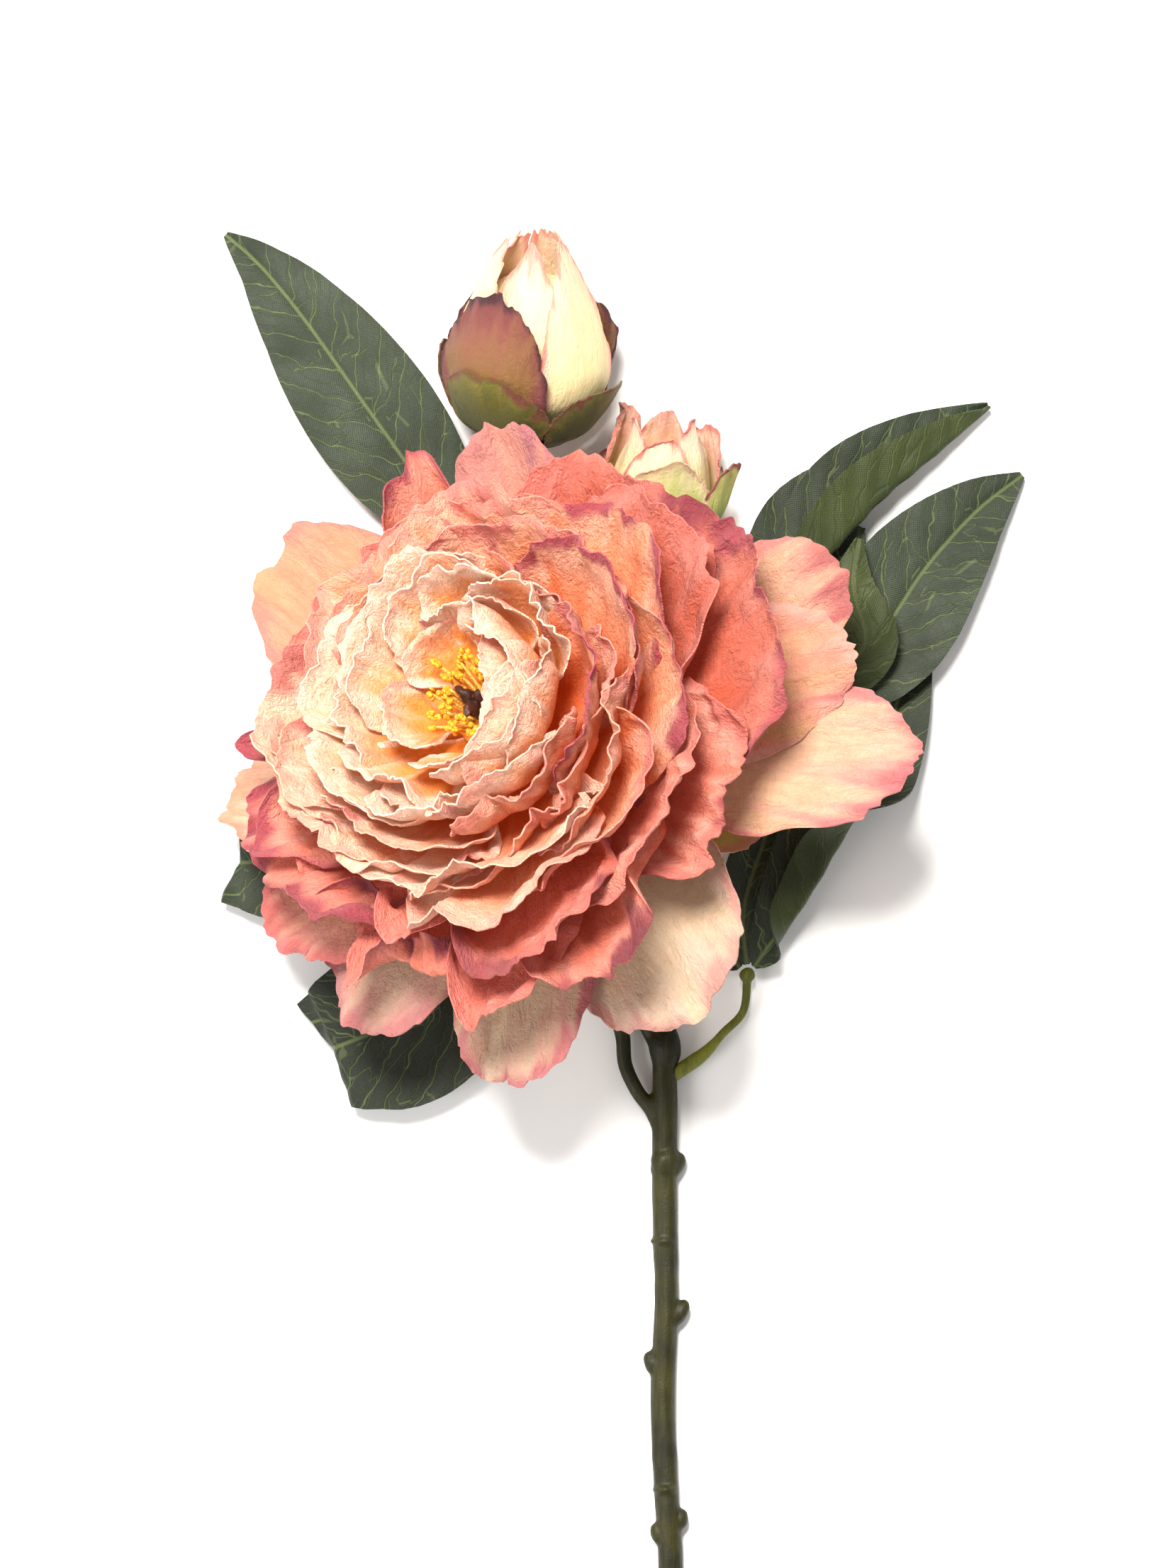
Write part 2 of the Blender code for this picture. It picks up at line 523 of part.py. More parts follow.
def leaf_side(route, flat):
    """The level direction to the right of a leaf's run, which a tip that folds under keeps."""
    overall = route[len(route) // 2] - route[0]
    if flat.dot(Vector((overall.x, overall.y, 0))) < 0:
        flat = Vector((overall.x, overall.y, 0)).normalized()
    return flat.cross(Vector((0, 0, 1)))


def build_leaf(leaf, material):
    route = smooth_route(leaf.route, 3.0)
    surface = partial(leaf_place, leaf, route)
    columns = CURLED_LEAF_COLUMNS if leaf.curl else LEAF_COLUMNS
    rows = SMALL_LEAF_ROWS if leaf.half_width < SMALL_LEAF else LEAF_ROWS
    made = blade(leaf.name, columns, rows, surface, LEAF_THICKNESS)
    made.data.materials.append(material)
    place_at(made, leaf.route[0])


# Bloom


def profile(row, lean, lift):
    """The middle line of a petal, as distance from the axis, height on it and angle from it."""
    stations = np.linspace(0.0, 1.0, PROFILE_STEPS + 1)
    angles = row.foot_angle + (row.rim_angle - row.foot_angle) * stations ** row.bend
    angles = np.radians(angles + lean - lift * stations)
    step = row.length / PROFILE_STEPS
    outward = np.cumsum(0.5 * (np.sin(angles[1:]) + np.sin(angles[:-1])))
    upward = np.cumsum(0.5 * (np.cos(angles[1:]) + np.cos(angles[:-1])))
    radius = row.foot_radius + np.concatenate([[0], outward]) * step
    height = row.foot_height + np.concatenate([[0], upward]) * step
    return stations, radius, height, angles


def petal_place(row, number, petal, frame, along, across):
    """A point of a petal's middle surface: along runs from foot to rim, across from side to side."""
    up = along * math.sqrt(1.0 - row.round * across * across)
    out = across * math.sqrt(1.0 - 0.5 * along * along)
    low_side = math.cos(math.radians(petal.azimuth - row.lean_to))
    lean = -row.lean * low_side + LEAN_UNEVENNESS * uneven(number, 3)
    length = petal.length * (1.0 + LENGTH_UNEVENNESS * uneven(number, 5))
    stations, radii, heights, angles = profile(row, lean, petal.lift)
    radius = row.foot_radius + (np.interp(up, stations, radii) - row.foot_radius) * length
    height = row.foot_height + (np.interp(up, stations, heights) - row.foot_height) * length
    angle = np.interp(up, stations, angles)
    half_width = row.half_width * petal.width
    spread = FOOT_HALF_WIDTH + (half_width - FOOT_HALF_WIDTH) * smooth(up / WIDENING)
    wide = out * spread
    bend = max(math.cos(angle), 0.0) / max(radius, TIGHTEST_CURVE_RADIUS) + LEAST_CURVE
    side = math.sin(bend * wide) / bend
    lift = (1.0 - math.cos(bend * wide)) / bend
    reach = math.sqrt(along * along + across * across - (along * across) ** 2)
    turn = math.atan2(out, up + 0.05)
    lift += row.wave * reach ** 3 * math.sin(3.0 * turn + 6.0 * uneven(number, 7))
    roll = math.radians(row.roll)
    side, lift = side * math.cos(roll) - lift * math.sin(roll), side * math.sin(roll) + lift * math.cos(roll)
    azimuth = math.radians(petal.azimuth)
    outward = Vector((math.cos(azimuth), math.sin(azimuth), 0))
    axis = Vector((0, 0, 1))
    inward = math.sin(angle) * axis - math.cos(angle) * outward
    local = outward * radius + axis * height + axis.cross(outward) * side + inward * lift
    return above_surface(frame @ local, 0.5 * PETAL_THICKNESS)


def petals(rows, frame, first_number):
    made = []
    number = first_number
    for row in rows:
        for petal in row.petals:
            number += 1
            surface = partial(petal_place, row, number, petal, frame)
            made.append(blade(f"petal_{number}", row.columns, row.rows, surface, PETAL_THICKNESS))
    return made


def build_petal_group(name, rows, core, first_number, material):
    """Petal rows glued to one disc, which is threaded on the axis of the bloom."""
    middle = disc(name + "_core", bloom_frame, core[0], core[1], CORE_RADIUS, CORE_RADIUS)
    whole = fuse(name, [middle, *petals(rows, bloom_frame, first_number)], material)
    place_at(whole, bloom_frame @ Vector((0, 0, core[0])))


def build_sepals():
    cup = disc("calyx", bloom_frame, -NECK_END + SEAT_GAP, -CALYX_TOP, CALYX_FOOT_RADIUS, CORE_RADIUS)
    whole = fuse("bloom_sepals", [cup, *petals([SEPAL_ROW], bloom_frame, 200)], sepal_finish)
    place_at(whole, bloom_frame @ Vector((0, 0, -NECK_END)))


def build_stamens():
    low, high = STAMEN_DISC
    pieces = [disc("stamen_disc", bloom_frame, low, high, STAMEN_RING + 1.3, STAMEN_RING + 1.3)]
    turn = bloom_frame.to_3x3()
    for number in range(STAMEN_COUNT):
        azimuth = 2 * math.pi * number / STAMEN_COUNT
        outward = Vector((math.cos(azimuth), math.sin(azimuth), 0))
        spread = math.radians(STAMEN_SPREAD + 9 * uneven(number, 2))
        way = math.sin(spread) * outward + math.cos(spread) * Vector((0, 0, 1))
        foot = outward * (STAMEN_RING + 0.6 * uneven(number, 9)) + Vector((0, 0, high - 0.8))
        head = foot + way * (STAMEN_LENGTH * (0.85 + 0.15 * uneven(number, 4)))
        filament = [bloom_frame @ foot, bloom_frame @ head]
        pieces.append(tube(f"filament_{number}", filament, [FILAMENT_RADIUS, 0.8 * FILAMENT_RADIUS], 20.0, 0))
        pieces.append(
            ball(f"anther_{number}", bloom_frame @ head, turn @ way, ANTHER_RADIUS, ANTHER_HALF_LENGTH, 4, 3)
        )
    place_at(fuse("stamens", pieces, stamen_finish), bloom_frame @ Vector((0, 0, low)))


def build_carpels():
    base = STAMEN_DISC[1] + SEAT_GAP
    foot_size = (base, base + CARPEL_FOOT_HEIGHT, CARPEL_FOOT_RADIUS, CARPEL_FOOT_RADIUS)
    pieces = [disc("carpel_foot", bloom_frame, *foot_size)]
    turn = bloom_frame.to_3x3()
    for number in range(CARPEL_COUNT):
        azimuth = 2 * math.pi * number / CARPEL_COUNT + 0.4
        outward = Vector((math.cos(azimuth), math.sin(azimuth), 0))
        way = (Vector((0, 0, 1)) + 0.16 * outward).normalized()
        centre = outward * CARPEL_RING + Vector((0, 0, base + 0.5 * CARPEL_LENGTH))
        pieces.append(
            ball(f"carpel_{number}", bloom_frame @ centre, turn @ way, CARPEL_RADIUS, 0.5 * CARPEL_LENGTH)
        )
        tip = centre + way * (0.5 * CARPEL_LENGTH - 0.8) + outward
        stigma = (0.5 * CARPEL_RADIUS, CARPEL_RADIUS)
        pieces.append(ball(f"stigma_{number}", bloom_frame @ tip, turn @ outward, *stigma, 6, 4))
    place_at(fuse("carpels", pieces, carpel_finish), bloom_frame @ Vector((0, 0, base)))


# Buds


def bud_swell(share):
    """Radius of a closed bud at a share of its length, as a part of its widest."""
    if share < 0.4:
        return 0.45 + 0.55 * math.sin(0.5 * math.pi * share / 0.4)
    return 1.0 - 0.6 * ((share - 0.4) / 0.6) ** 1.7


def bud_wrap_place(frame, length, radius, wrap, along, across):
    """A point of a petal or sepal wrapped round a bud."""
    up = along * math.sqrt(1.0 - 0.5 * across * across)
    out = across * math.sqrt(1.0 - 0.5 * along * along)
    share = wrap.foot + (wrap.top - wrap.foot) * up
    spread = wrap.half_span * (FOOT_SPAN + (1.0 - FOOT_SPAN) * smooth(up / 0.5))
    turn = math.radians(wrap.azimuth + out * spread)
    tuck = FOOT_TUCK * (1.0 - smooth(up / 0.2))
    ring = radius * bud_swell(share) + wrap.offset - tuck + wrap.flare * up ** 4
    local = Vector((ring * math.cos(turn), ring * math.sin(turn), share * length))
    return above_surface(frame @ local, 0.5 * PETAL_THICKNESS)


def bud_core(name, frame, length, radius, foot, top):
    """The stuffed middle of a bud, which the petals are wrapped round."""
    bm = bmesh.new()
    bmesh.ops.create_uvsphere(bm, u_segments=10, v_segments=8, radius=1.0)
    for vertex in bm.verts:
        share = foot + (top - foot) * 0.5 * (vertex.co.z + 1.0)
        ring = radius * bud_swell(share)
        flat = Vector((vertex.co.x, vertex.co.y, 0))
        ring *= min(1.0, 1.6 * flat.length)
        if flat.length > 1e-6:
            flat.normalize()
        vertex.co = frame @ (flat * ring + Vector((0, 0, share * length)))
    return new_object(name, mesh_from(bm, name))


def wraps(name, frame, length, radius, entries, columns, rows):
    made = []
    for number, wrap in enumerate(entries):
        surface = partial(bud_wrap_place, frame, length, radius, wrap)
        made.append(blade(f"{name}_{number}", columns, rows, surface, PETAL_THICKNESS))
    return made


def build_top_bud():
    frame = axis_frame(BUD_SEAT, BUD_AXIS)
    size = (frame, BUD_LENGTH, BUD_RADIUS)
    core = bud_core("bud_core", frame, BUD_LENGTH, BUD_RADIUS - CORE_DEPTH, 0.09, 0.8)
    foot = disc("bud_foot", frame, *BUD_FOOT)
    folds = wraps("bud_petal", *size, BUD_PETALS, 4, 3)
    place_at(fuse("top_bud_petals", [foot, core, *folds], bud_petal_finish), BUD_SEAT)
    cup = disc("bud_inner_cup", frame, *BUD_INNER_CUP)
    sepals = wraps("inner_sepal", *size, BUD_INNER_SEPALS, 4, 3)
    place_at(fuse("top_bud_inner_sepals", [cup, *sepals], inner_sepal_finish), BUD_SEAT)
    cup = disc("bud_calyx", frame, *BUD_CALYX)
    sepals = wraps("outer_sepal", *size, BUD_SEPALS, 4, 3)
    place_at(fuse("top_bud_sepals", [cup, *sepals], sepal_finish), BUD_SEAT)


def build_side_bud():
    frame = axis_frame(SIDE_BUD_SEAT, SIDE_BUD_AXIS)
    size = (frame, SIDE_BUD_LENGTH, SIDE_BUD_RADIUS)
    core = bud_core("side_bud_core", frame, SIDE_BUD_LENGTH, SIDE_BUD_RADIUS - SIDE_CORE_DEPTH, 0.12, 0.62)
    foot = disc("side_bud_foot", frame, *SIDE_BUD_FOOT)
    folds = wraps("side_petal", *size, SIDE_BUD_PETALS, 4, 3)
    place_at(fuse("side_bud_petals", [foot, core, *folds], bud_petal_finish), SIDE_BUD_SEAT)
    cup = disc("side_bud_calyx", frame, *SIDE_BUD_CALYX)
    sepals = wraps("side_sepal", *size, SIDE_BUD_SEPALS, 4, 3)
    place_at(fuse("side_bud_sepals", [cup, *sepals], sepal_finish), SIDE_BUD_SEAT)


def axis_frame(seat, axis):
    """A frame whose own Z runs along axis and whose X lies level, to the right of it."""
    right = axis.cross(Vector((0, 0, 1))).normalized()
    back = axis.cross(right)
    turn = Matrix((right, back, axis)).transposed()
    return Matrix.Translation(seat) @ turn.to_4x4()


for old in list(bpy.data.objects):
    bpy.data.objects.remove(old)

parts = bpy.data.collections.new("artificial_peony_stem")
cutters = bpy.data.collections.new("cutters")
bpy.context.scene.collection.children.link(parts)
bpy.context.scene.collection.children.link(cutters)
spray = bpy.data.objects.new("spray", None)
parts.objects.link(spray)

tilt_axis = Vector((-math.sin(math.radians(BLOOM_HEADING)), math.cos(math.radians(BLOOM_HEADING)), 0))
bloom_frame = Matrix.Translation(BLOOM_SEAT) @ Matrix.Rotation(math.radians(BLOOM_LEAN), 4, tilt_axis)

stem_finish = finish("stem_coating", (0.045, 0.048, 0.014), 0.5)
leaf_stalk_finish = finish("leaf_stalk_plastic", (0.12, 0.13, 0.015), 0.45)
leaf_finish = finish("leaf_cloth", (0.085, 0.11, 0.065), 0.75)
guard_finish = finish("guard_petal_cloth", (0.80, 0.52, 0.38))
coral_finish = finish("coral_petal_cloth", (0.88, 0.27, 0.19))
peach_finish = finish("peach_petal_cloth", (0.95, 0.46, 0.28))
cream_finish = finish("cream_petal_cloth", (0.98, 0.68, 0.42))
sepal_finish = finish("sepal_cloth", (0.22, 0.22, 0.05))
inner_sepal_finish = finish("inner_sepal_cloth", (0.30, 0.11, 0.08))
bud_petal_finish = finish("bud_petal_cloth", (0.95, 0.78, 0.56))
stamen_finish = finish("stamen_fibre", (0.75, 0.33, 0.02))
carpel_finish = finish("carpel_plastic", (0.045, 0.014, 0.008), 0.5)

seat_cutter = build_stem()
for stalk in LEAF_STALKS:
    build_leaf_stalk(stalk, seat_cutter)
for leaf in LEAVES:
    build_leaf(leaf, leaf_finish)
build_sepals()
build_petal_group("guard_petals", GUARD_ROWS, GUARD_CORE, 0, guard_finish)
build_petal_group("coral_petals", CORAL_ROWS, CORAL_CORE, 20, coral_finish)
build_petal_group("peach_petals", PEACH_ROWS, PEACH_CORE, 50, peach_finish)
build_petal_group("cream_petals", CREAM_ROWS, CREAM_CORE, 90, cream_finish)
build_stamens()
build_carpels()
build_top_bud()
build_side_bud()
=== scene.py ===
import math
from collections import namedtuple

import bpy
import numpy as np
from mathutils import Matrix, Vector


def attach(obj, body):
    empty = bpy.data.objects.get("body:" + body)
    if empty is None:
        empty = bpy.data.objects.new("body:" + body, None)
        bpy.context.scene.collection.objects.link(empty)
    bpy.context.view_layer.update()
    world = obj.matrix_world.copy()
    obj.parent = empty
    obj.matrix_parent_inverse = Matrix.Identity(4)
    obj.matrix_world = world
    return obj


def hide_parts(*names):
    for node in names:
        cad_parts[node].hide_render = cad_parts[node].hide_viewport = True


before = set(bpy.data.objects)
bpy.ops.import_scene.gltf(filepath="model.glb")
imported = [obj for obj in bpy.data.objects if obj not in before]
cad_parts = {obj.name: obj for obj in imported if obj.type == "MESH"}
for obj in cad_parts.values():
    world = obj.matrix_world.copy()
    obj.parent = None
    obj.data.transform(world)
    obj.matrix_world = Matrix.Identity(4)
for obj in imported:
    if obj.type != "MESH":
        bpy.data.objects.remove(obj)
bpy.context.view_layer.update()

MM = 0.001

# STEM
# A wire core in one plastic coating, moulded like bark with knots and scars where shoots would leave.
# The neck of the bloom, the arms of both buds and one short branch on the left grow out of it.

STEM_RADIUS = 3.0
ARM_RADIUS = 2.0
NECK_RADIUS = 2.7
SIDE_BRANCH_RADIUS = 1.8
STEM_ROUTE = [(12.0, -199, 3.0), (11.4, -165, 3.0), (11.2, -121, 3.0), (10.2, -104, 3.1), (9.4, -80, 3.0),
              (10.2, -55, 3.1), (9.7, -30, 3.2), (9.9, -8, 3.6), (9.6, 6, 4.0), (9.2, 20, 4.2),
              (7.0, 36, 4.2), (2.5, 50, 5.6)]
BUD_ARM_ROUTE = [(9.7, 0, 3.8), (4.3, 11, 4.2), (0, 26, 4.2), (-4, 46, 3.6), (-9, 70, 3.6), (-15, 95, 4.6),
                 (-20.5, 117, 8)]
SIDE_BUD_ARM_ROUTE = [(-8.6, 68, 3.6), (-7, 82, 4), (-1.5, 98, 5)]
BRANCH_ROUTE = [(9.7, -20, 3.2), (6.8, -12.5, 3.4), (3.2, -7.5, 3.6), (0.3, -1.2, 3.8), (-0.4, 6, 4),
                (-3, 14, 4)]
Knot = namedtuple("Knot", "centre axis radius half_length")
KNOTS = [
    Knot((9.8, -24.6, 3.7), (0.25, 1, 0), 3.6, 4.6), Knot((12.4, -25.4, 3.4), (0.5, 1, 0), 2.2, 3.4),
    Knot((9.6, -43.5, 3.5), (0, 1, 0), 3.4, 1.2), Knot((13.2, -60.6, 3.4), (0.6, 1, 0), 2.1, 3.6),
    Knot((7.0, -73, 3.2), (-0.5, 1, 0), 2.1, 3.4), Knot((10.0, -103, 3.6), (0, 1, 0), 3.5, 1.4),
    Knot((8.2, -113.6, 3.3), (-0.4, 1, 0), 1.9, 2.8), Knot((13.3, -110.4, 3.3), (0.4, 1, 0), 2.0, 3.0),
    Knot((9.8, 3.0, 4.4), (0, 1, 0), 3.8, 6.0),
]
BLOOM_SEAT = Vector((-15.1, 69.7, 33.0))
BLOOM_LEAN = 35.0
BLOOM_HEADING = 142.0
NECK_END = 8.3
NECK_STRAIGHT = 8.0
BUD_SEAT = Vector((-23.5, 148.3, 14.5))
BUD_AXIS = Vector((0.06, 0.94, 0.34)).normalized()
SIDE_BUD_SEAT = Vector((6.5, 122.0, 12.5))
SIDE_BUD_AXIS = Vector((0.12, 0.94, 0.22)).normalized()
ARM_STRAIGHT = 14.0
SIDE_ARM_STRAIGHT = 12.0
PIECE_GAP = 0.3
END_BULGE = 0.3
COATING_GRAIN = 0.5
COATING_SMOOTHING = 3

tilt_axis = Vector((-math.sin(math.radians(BLOOM_HEADING)), math.cos(math.radians(BLOOM_HEADING)), 0))
bloom_frame = Matrix.Translation(BLOOM_SEAT) @ Matrix.Rotation(math.radians(BLOOM_LEAN), 4, tilt_axis)


def hills(across, along, seed):
    """Smooth random hills between -1 and 1, about one to each unit square."""
    across, along = np.broadcast_arrays(np.asarray(across, float), np.asarray(along, float))
    column, row = np.floor(across).astype(np.int64), np.floor(along).astype(np.int64)

    def height(i, j):
        mixed = (i * 374761393 + j * 668265263 + int(seed) * 1013904223) & 0xFFFFFFFF
        mixed = ((mixed ^ (mixed >> 13)) * 1274126177) & 0xFFFFFFFF
        return ((mixed ^ (mixed >> 16)) & 0xFFFF) / 32767.5 - 1.0

    over, up = across - column, along - row
    over, up = over * over * (3 - 2 * over), up * up * (3 - 2 * up)
    low = height(column, row) * (1 - over) + height(column + 1, row) * over
    high = height(column, row + 1) * (1 - over) + height(column + 1, row + 1) * over
    return low * (1 - up) + high * up


def ease(value):
    """0 below 0, 1 above 1, and an even S-curve between."""
    value = np.clip(value, 0.0, 1.0)
    return value * value * (3.0 - 2.0 * value)


def smooth_route(stops, step):
    """Points every step or so along a smooth curve through the stops."""
    stops = [Vector(stop) for stop in stops]
    ends = [2 * stops[0] - stops[1], *stops, 2 * stops[-1] - stops[-2]]
    route = []
    for before, start, end, after in zip(ends, ends[1:], ends[2:], ends[3:]):
        pieces = max(1, round((end - start).length / step))
        for piece in range(pieces):
            t = piece / pieces
            route.append(
                0.5 * (2 * start + (end - before) * t + (2 * before - 5 * start + 4 * end - after) * t ** 2
                       + (3 * start - before - 3 * end + after) * t ** 3)
            )
    return route + [stops[-1]]


def ring_shell(rings, ends, turned=False):
    """A closed skin over rings of points, each joined to the next, with one more point to close each end.
    Where the points run clockwise round the way ahead, turned keeps its outer side outside."""
    count, sides = rings.shape[:2]
    number = np.arange(sides)
    beside = np.roll(number, -1)
    low = sides * np.arange(count - 1)[:, None]
    walls = np.stack([low + number, low + beside, low + sides + beside, low + sides + number], axis=-1)
    last = sides * (count - 1)
    foot = np.stack([np.full(sides, count * sides), beside, number], axis=-1)
    top = np.stack([np.full(sides, count * sides + 1), last + number, last + beside], axis=-1)
    faces = walls.reshape(-1, 4).tolist() + foot.tolist() + top.tolist()
    if turned:
        faces = [[face[0], *face[:0:-1]] for face in faces]
    return np.concatenate([rings.reshape(-1, 3), ends]), faces


def stalk_shell(stops, radii, step=1.0, sides=20, roughness=0.0, seed=1):
    """A round stalk along the stops with rounded ends; roughness is how far its moulded bark stands out."""
    route = np.array([tuple(place) for place in smooth_route(stops, step)])
    ahead = np.gradient(route, axis=0)
    ahead /= np.linalg.norm(ahead, axis=1)[:, None]
    side = np.cross(ahead, (0, 0, 1))
    side /= np.linalg.norm(side, axis=1)[:, None]
    top = np.cross(side, ahead)
    radius = np.interp(np.linspace(0, 1, len(route)), np.linspace(0, 1, len(radii)), radii)
    turn = np.linspace(0, 2 * np.pi, sides, endpoint=False)
    run = np.cumsum(np.linalg.norm(np.diff(route, axis=0, prepend=route[:1]), axis=1))
    bark = hills(np.cos(turn)[None, :] * 2 + 7, run[:, None] / 11, seed)
    bark = bark + 0.6 * hills(np.sin(turn)[None, :] * 3 + 9, run[:, None] / 4, seed + 1)
    reach = (radius[:, None] + roughness * bark)[..., None]
    rings = route[:, None] + reach * (np.cos(turn)[None, :, None] * side[:, None]
                                      + np.sin(turn)[None, :, None] * top[:, None])
    ends = [route[0] - END_BULGE * radius[0] * ahead[0], route[-1] + END_BULGE * radius[-1] * ahead[-1]]
    return ring_shell(rings, ends, turned=True)


def swelling_shell(centre, axis, radius, half_length, roughness=0.0, seed=1, segments=20, rings=12):
    """A knot or a bead: an ellipsoid with its long axis along axis."""
    turn = np.array(Vector((0, 0, 1)).rotation_difference(Vector(axis)).to_matrix())
    height = np.linspace(0, np.pi, rings + 1)[1:-1, None]
    around = np.linspace(0, 2 * np.pi, segments, endpoint=False)[None, :]
    swell = radius * (1 + roughness * hills(np.cos(around) * 2 + 5, height * 2 + np.sin(around), seed))
    places = np.stack([swell * np.sin(height) * np.cos(around), swell * np.sin(height) * np.sin(around),
                       half_length * np.cos(height) + 0 * around], axis=-1)
    ends = np.array([(0, 0, half_length), (0, 0, -half_length)])
    centre = np.array(tuple(centre))
    return ring_shell(places @ turn.T + centre, ends @ turn.T + centre, turned=True)


def mesh_piece(name, shells, layers=None):
    """One mesh object from closed shells in millimetres; layers are values kept for each point."""
    places = np.concatenate([shell[0] for shell in shells])
    faces = []
    first = 0
    for shell in shells:
        faces.extend([corner + first for corner in face] for face in shell[1])
        first += len(shell[0])
    mesh = bpy.data.meshes.new(name)
    mesh.from_pydata((places * MM).tolist(), [], faces)
    kinds = {1: ("FLOAT", "value"), 3: ("FLOAT_VECTOR", "vector"), 4: ("FLOAT_COLOR", "color")}
    for title, values in (layers or {}).items():
        kind, field = kinds[values.shape[1]]
        layer = mesh.attributes.new(title, kind, "POINT")
        layer.data.foreach_set(field, values.astype(np.float32).ravel())
    mesh.update()
    mesh.shade_smooth()
    piece = bpy.data.objects.new(name, mesh)
    bpy.context.scene.collection.objects.link(piece)
    return piece


def moulded(piece, grain, rounds):
    """Melts the shells of a piece into one skin, as plastic moulded over them would."""
    skin = piece.modifiers.new("skin", "REMESH")
    skin.mode = "VOXEL"
    skin.voxel_size = grain * MM
    skin.use_smooth_shade = True
    soften = piece.modifiers.new("soften", "SMOOTH")
    soften.factor = 0.5
    soften.iterations = rounds
    bpy.context.view_layer.update()
    mesh = bpy.data.meshes.new_from_object(piece.evaluated_get(bpy.context.evaluated_depsgraph_get()))
    piece.modifiers.clear()
    piece.data = mesh
    mesh.shade_smooth()


def stand_for(piece, node, material):
    """Puts a dressed piece in the place of its CAD solid."""
    piece.data.materials.clear()
    piece.data.materials.append(material)
    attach(piece, "root")
    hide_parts(node)


def new_material(name):
    """A material, its node tree and its Principled shader."""
    material = bpy.data.materials.new(name)
    material.use_nodes = True
    return material, material.node_tree, material.node_tree.nodes["Principled BSDF"]


def add(tree, kind, values=None, **settings):
    """A node with its settings and the values of its sockets; a value may be another node's output."""
    made = tree.nodes.new(kind)
    for name, value in settings.items():
        setattr(made, name, value)
    for socket, value in (values or {}).items():
        if isinstance(value, bpy.types.NodeSocket):
            tree.links.new(value, made.inputs[socket])
        else:
            made.inputs[socket].default_value = value
    return made


def maths(tree, operation, first, second=0.0, clamp=False):
    made = add(tree, "ShaderNodeMath", {0: first, 1: second}, operation=operation, use_clamp=clamp)
    return made.outputs[0]


def product(tree, first, second):
    return maths(tree, "MULTIPLY", first, second)


def total(tree, first, second, clamp=False):
    return maths(tree, "ADD", first, second, clamp)


def colour_mix(tree, share, first, second, blend="MIX"):
    made = add(tree, "ShaderNodeMix", data_type="RGBA", blend_type=blend)
    for socket, value in (("Factor_Float", share), ("A_Color", first), ("B_Color", second)):
        inner = next(entry for entry in made.inputs if entry.identifier == socket)
        if isinstance(value, bpy.types.NodeSocket):
            tree.links.new(value, inner)
        elif isinstance(value, tuple):
            inner.default_value = (*value, 1.0)[:4]
        else:
            inner.default_value = value
    return next(entry for entry in made.outputs if entry.identifier == "Result_Color")


def mapped(tree, value, low, high, to_low=0.0, to_high=1.0):
    return add(tree, "ShaderNodeMapRange", {"Value": value, "From Min": low, "From Max": high,
                                            "To Min": to_low, "To Max": to_high}).outputs["Result"]


def noise(tree, place, scale, detail, **more):
    return add(tree, "ShaderNodeTexNoise",
               {"Vector": place, "Scale": scale, "Detail": detail, **more}).outputs["Fac"]


def stretched(tree, place, factors):
    return add(tree, "ShaderNodeVectorMath", {0: place, 1: factors}, operation="MULTIPLY").outputs[0]


def bumped(tree, shader, height, depth, strength):
    """Feeds a height map, depth millimetres deep, to the shader's normal."""
    bump = add(tree, "ShaderNodeBump", {"Height": height, "Distance": depth * MM, "Strength": strength})
    tree.links.new(bump.outputs["Normal"], shader.inputs["Normal"])


def new_group(name, inputs, outputs):
    """A node group with sockets of the given names and kinds, and the inner ends of those sockets."""
    group = bpy.data.node_groups.new(name, "ShaderNodeTree")
    kinds = {"value": "NodeSocketFloat", "colour": "NodeSocketColor", "vector": "NodeSocketVector"}
    for way, sockets in (("INPUT", inputs), ("OUTPUT", outputs)):
        for title, kind in sockets.items():
            group.interface.new_socket(name=title, in_out=way, socket_type=kinds[kind])
    return group, group.nodes.new("NodeGroupInput").outputs, group.nodes.new("NodeGroupOutput").inputs


def grouped(tree, group, values):
    """The outputs of a node group placed in a tree, with its own values."""
    return add(tree, "ShaderNodeGroup", values, node_tree=group).outputs


# Moulded bark: long fine ridges and blotches of a second colour, in the object's own coordinates.
bark_group, given, wanted = new_group(
    "moulded_bark", {"Place": "vector", "Dark": "colour", "Light": "colour"},
    {"Colour": "colour", "Height": "value", "Roughness": "value"})
long_way = stretched(bark_group, given["Place"], (1.0, 0.12, 1.0))
ridges = noise(bark_group, long_way, 900.0, 6.0, Roughness=0.6)
blotches = noise(bark_group, given["Place"], 90.0, 5.0)
pits = noise(bark_group, given["Place"], 1500.0, 2.0)
lightness = total(bark_group, mapped(bark_group, blotches, 0.35, 0.68),
                  mapped(bark_group, ridges, 0.4, 0.7, -0.25, 0.35), clamp=True)
bark_group.links.new(colour_mix(bark_group, lightness, given["Dark"], given["Light"]), wanted["Colour"])
bark_group.links.new(total(bark_group, ridges, product(bark_group, pits, 0.3)), wanted["Height"])
bark_group.links.new(mapped(bark_group, blotches, 0.3, 0.7, 0.62, 0.42), wanted["Roughness"])


def plastic_material(name, dark, light, relief_height):
    """Bark moulded in plastic, between a dark and a light colour."""
    material, tree, shader = new_material(name)
    place = add(tree, "ShaderNodeTexCoord").outputs["Object"]
    bark = grouped(tree, bark_group, {"Place": place, "Dark": (*dark, 1), "Light": (*light, 1)})
    tree.links.new(bark["Colour"], shader.inputs["Base Color"])
    tree.links.new(bark["Roughness"], shader.inputs["Roughness"])
    bumped(tree, shader, bark["Height"], relief_height, 0.8)
    shader.inputs["Specular IOR Level"].default_value = 0.22
    shader.inputs["Coat Weight"].default_value = 0.04
    shader.inputs["Coat Roughness"].default_value = 0.35
    return material


